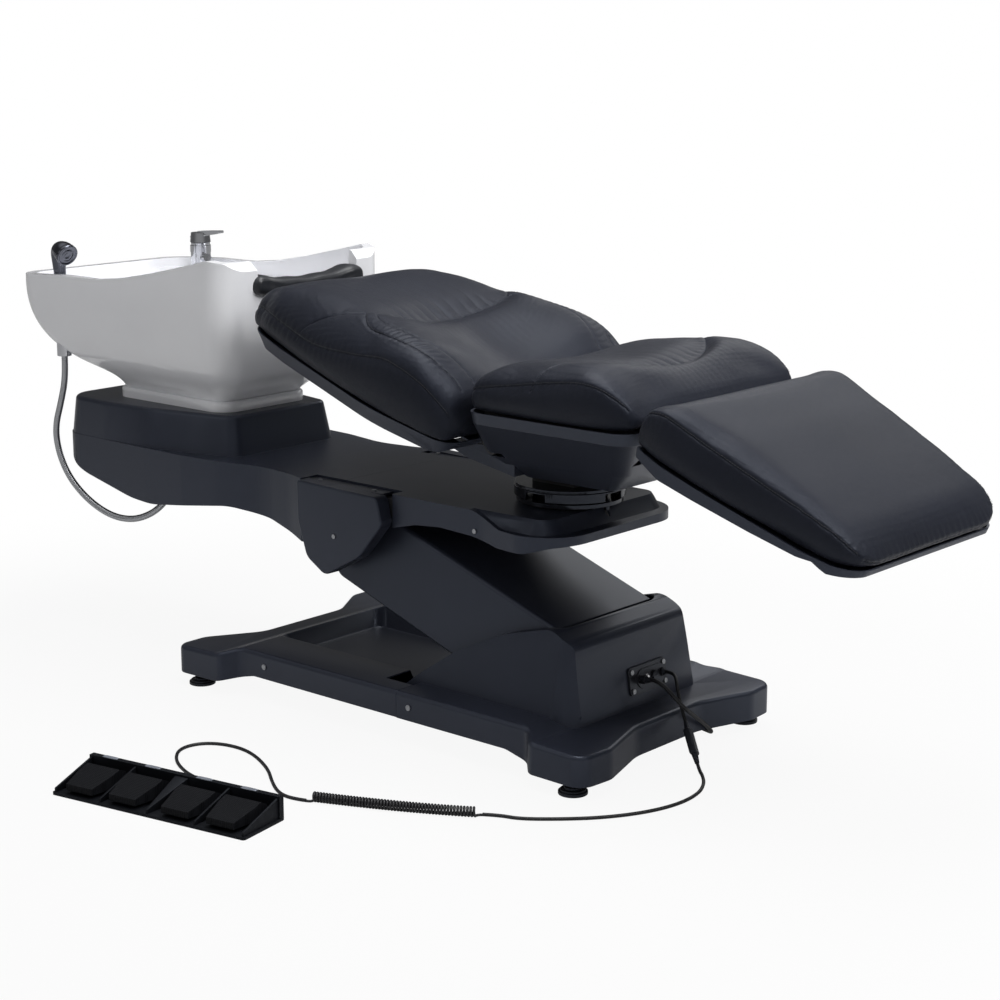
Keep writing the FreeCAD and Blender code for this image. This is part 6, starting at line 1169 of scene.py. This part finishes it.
# %% Bare plates on the foot control
def face_tree(node):
    """Search tree of a CAD node, in frame metres."""
    mesh = cad[node].data
    return BVHTree.FromPolygons([tuple(v.co) for v in mesh.vertices],
                                [tuple(f.vertices) for f in mesh.polygons])


ridge, plate_bits = face_tree("pedal_base"), []
back_way = np.array((-math.sin(math.radians(10)), math.cos(math.radians(10)), 0.0))
long_way = np.array((math.cos(math.radians(10)), math.sin(math.radians(10)), 0.0))
middle = np.array((*bed((0, -768, 0))[:2], 0.0))
for k in (1, 2, 3, 4):
    low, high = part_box(f"pedal_{k}")
    along = ((np.array(low) + np.array(high)) / 2 - middle) @ long_way - 0.006
    spot = middle + long_way * along + back_way * 0.0495
    place, normal, _, _ = ridge.ray_cast(Vector((spot[0], spot[1], 0.2)), Vector((0, 0, -1)))
    up = np.array(normal)
    ahead = np.cross(up, long_way)
    corner = np.linspace(0, 2 * math.pi, 24, endpoint=False)
    wide = np.sign(np.cos(corner)) * np.abs(np.cos(corner)) ** 0.35 * 0.0165
    deep = np.sign(np.sin(corner)) * np.abs(np.sin(corner)) ** 0.35 * 0.0048
    ring = np.array(place) + wide[:, None] * long_way + deep[:, None] * ahead
    inset = np.array(place) + (ring - np.array(place)) * 0.96 + up * 0.0008
    plate_bits.append(np.stack([ring - up * 0.0004, ring + up * 0.0005, inset]))
plates = bmesh.new()
for rings in plate_bits:
    bit = outward(mesh_of("plate", rings))
    bit.shade_flat()
    plates.from_mesh(bit)
    bpy.data.meshes.remove(bit)
plate_mesh = bpy.data.meshes.new("foot_control_plates")
plates.to_mesh(plate_mesh)
plates.free()
shown(bpy.data.objects.new("foot_control_plates", plate_mesh), plate_finish, "base", "pedal_plastic")
print("plates", len(plate_bits))

# %% [markdown]

print("cords made")

# %% [markdown]
# ## Floor, room and lamps
# The photograph is cut out on white. The floor and the room look white to the camera by their own colour,
# not by more light, and the floor still darkens a little under the bed. A shiny surface sees a darker room
# that is white only overhead, because a white one all round would wash out the dark leather and covers.

# %% Floor and room
ray_kinds = ("Is Camera Ray", "Is Glossy Ray", "Is Transmission Ray")


def white_floor():
    """Floor: part plain white, part diffuse, chosen by what kind of ray looks at it."""
    made = Finish("white_floor")
    rays = {out: made.node("ShaderNodeLightPath", None, out=out) for out in ray_kinds}
    seen = made.node("ShaderNodeMath", {"operation": "MAXIMUM"}, rays["Is Camera Ray"],
                     rays["Is Transmission Ray"])
    glow = made.node("ShaderNodeEmission", None, Color=(1, 1, 1, 1), Strength=1.0, out="Emission")
    away = made.node("ShaderNodeVectorMath", {"operation": "LENGTH"}, made.here(), out="Value")
    far_off = made.steps(away, 1.1, 2.1)
    made.set(Base_Color=(0.5, 0.5, 0.5, 1), Roughness=0.9, Specular_IOR_Level=0.0)
    white_share = seen * (0.92 + far_off * 0.08) + rays["Is Glossy Ray"] * 0.2
    lit = Wire(made, made.shader.outputs[0])
    mixed = made.node("ShaderNodeMixShader", None, white_share, lit, glow, out="Shader")
    made.tree.links.new(mixed.socket, made.tree.nodes["Material Output"].inputs["Surface"])
    return made.material


floor_mesh = bpy.data.meshes.new("floor")
floor_half, floor_drop = 30, 0.0005
corners = [(x * floor_half, y * floor_half, -floor_drop) for x, y in ((-1, -1), (1, -1), (1, 1), (-1, 1))]
floor_mesh.from_pydata(corners, [], [(0, 1, 2, 3)])
floor = bpy.data.objects.new("floor", floor_mesh)
floor_mesh.materials.append(white_floor())
scene.collection.objects.link(floor)
floor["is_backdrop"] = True
world = scene.world or bpy.data.worlds.new("room")
scene.world = world
world.use_nodes = True
room = world.node_tree


def room_node(kind, settings, *values, out=0):
    """A node of the room with its settings, and its inputs set or linked in order."""
    node = room.nodes.new(kind)
    for key, value in settings.items():
        setattr(node, key, value)
    for socket, value in zip(node.inputs, values):
        if hasattr(value, "is_output"):
            room.links.new(value, socket)
        elif value is not None:
            socket.default_value = value
    return node.outputs[out]


ray = {kind: room_node("ShaderNodeLightPath", {}, out=kind) for kind in ray_kinds}
clear = room_node("ShaderNodeMath", {"operation": "MAXIMUM"}, ray["Is Camera Ray"], ray["Is Transmission Ray"])
way = room_node("ShaderNodeTexCoord", {}, out="Generated")
height = room_node("ShaderNodeSeparateXYZ", {}, way, out="Z")
toward = room_node("ShaderNodeVectorMath", {"operation": "DOT_PRODUCT"}, way, (0.655, -0.755, 0.0),
                   out="Value")
above = room_node("ShaderNodeMapRange", {"interpolation_type": "SMOOTHSTEP"}, height, 0.6, 0.98, 0.12, 1.0)
front = room_node("ShaderNodeMapRange", {"interpolation_type": "SMOOTHSTEP"}, toward, 0.3, 1.0, 0.0, 0.16)
mirror = room_node("ShaderNodeMath", {"operation": "ADD"}, above, front)
plain = room_node("ShaderNodeMix", {"data_type": "FLOAT"}, ray["Is Glossy Ray"], None, 0.38, mirror)
level = room_node("ShaderNodeMix", {"data_type": "FLOAT"}, clear, None, plain, 1.0)
room.links.new(level, room.nodes["Background"].inputs["Strength"])
room.nodes["Background"].inputs["Color"].default_value = (1, 1, 1, 1)
print("room set")

# %% [markdown]
# One large soft lamp overhead gives the tops their light, a second on the right opens the housing's front,
# a weak one near the camera keeps the sides readable, and one behind gives level tops their low sheen.

# %% Lamps
def soft_lamp(name, spot, aim, width, height, power):
    """Rectangle lamp at a bed position in metres, turned to face another."""
    light = bpy.data.lights.new(name, "AREA")
    light.shape, light.size, light.size_y, light.energy = "RECTANGLE", width, height, power
    lamp = bpy.data.objects.new(name, light)
    scene.collection.objects.link(lamp)
    lamp.location = Vector(spot) + Vector(bed_origin)
    lamp.rotation_mode = "QUATERNION"
    lamp.rotation_quaternion = (Vector(aim) - Vector(spot)).to_track_quat("-Z", "Y")


soft_lamp("overhead", (0.1, 0.1, 3.0), (0, 0, 0.4), 2.6, 1.3, 64)
soft_lamp("right", (2.5, 0.5, 2.9), (0.3, 0, 0.4), 1.4, 1.4, 72)
soft_lamp("front", (-1.8, -3.2, 2.0), (-0.3, 0, 0.5), 1.4, 1.1, 7)
soft_lamp("behind", (-0.5, 3.2, 2.3), (0.2, 0, 0.3), 2.6, 1.1, 15)
print("lamps", 4)

# %% Finish
import json

dressed_low, dressed_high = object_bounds()
past_cad = [round((a - b) * 1000, 1) for a, b in zip((*dressed_low, *dressed_high), (*cad_low, *cad_high))]
print("visual minus cad mm", past_cad)
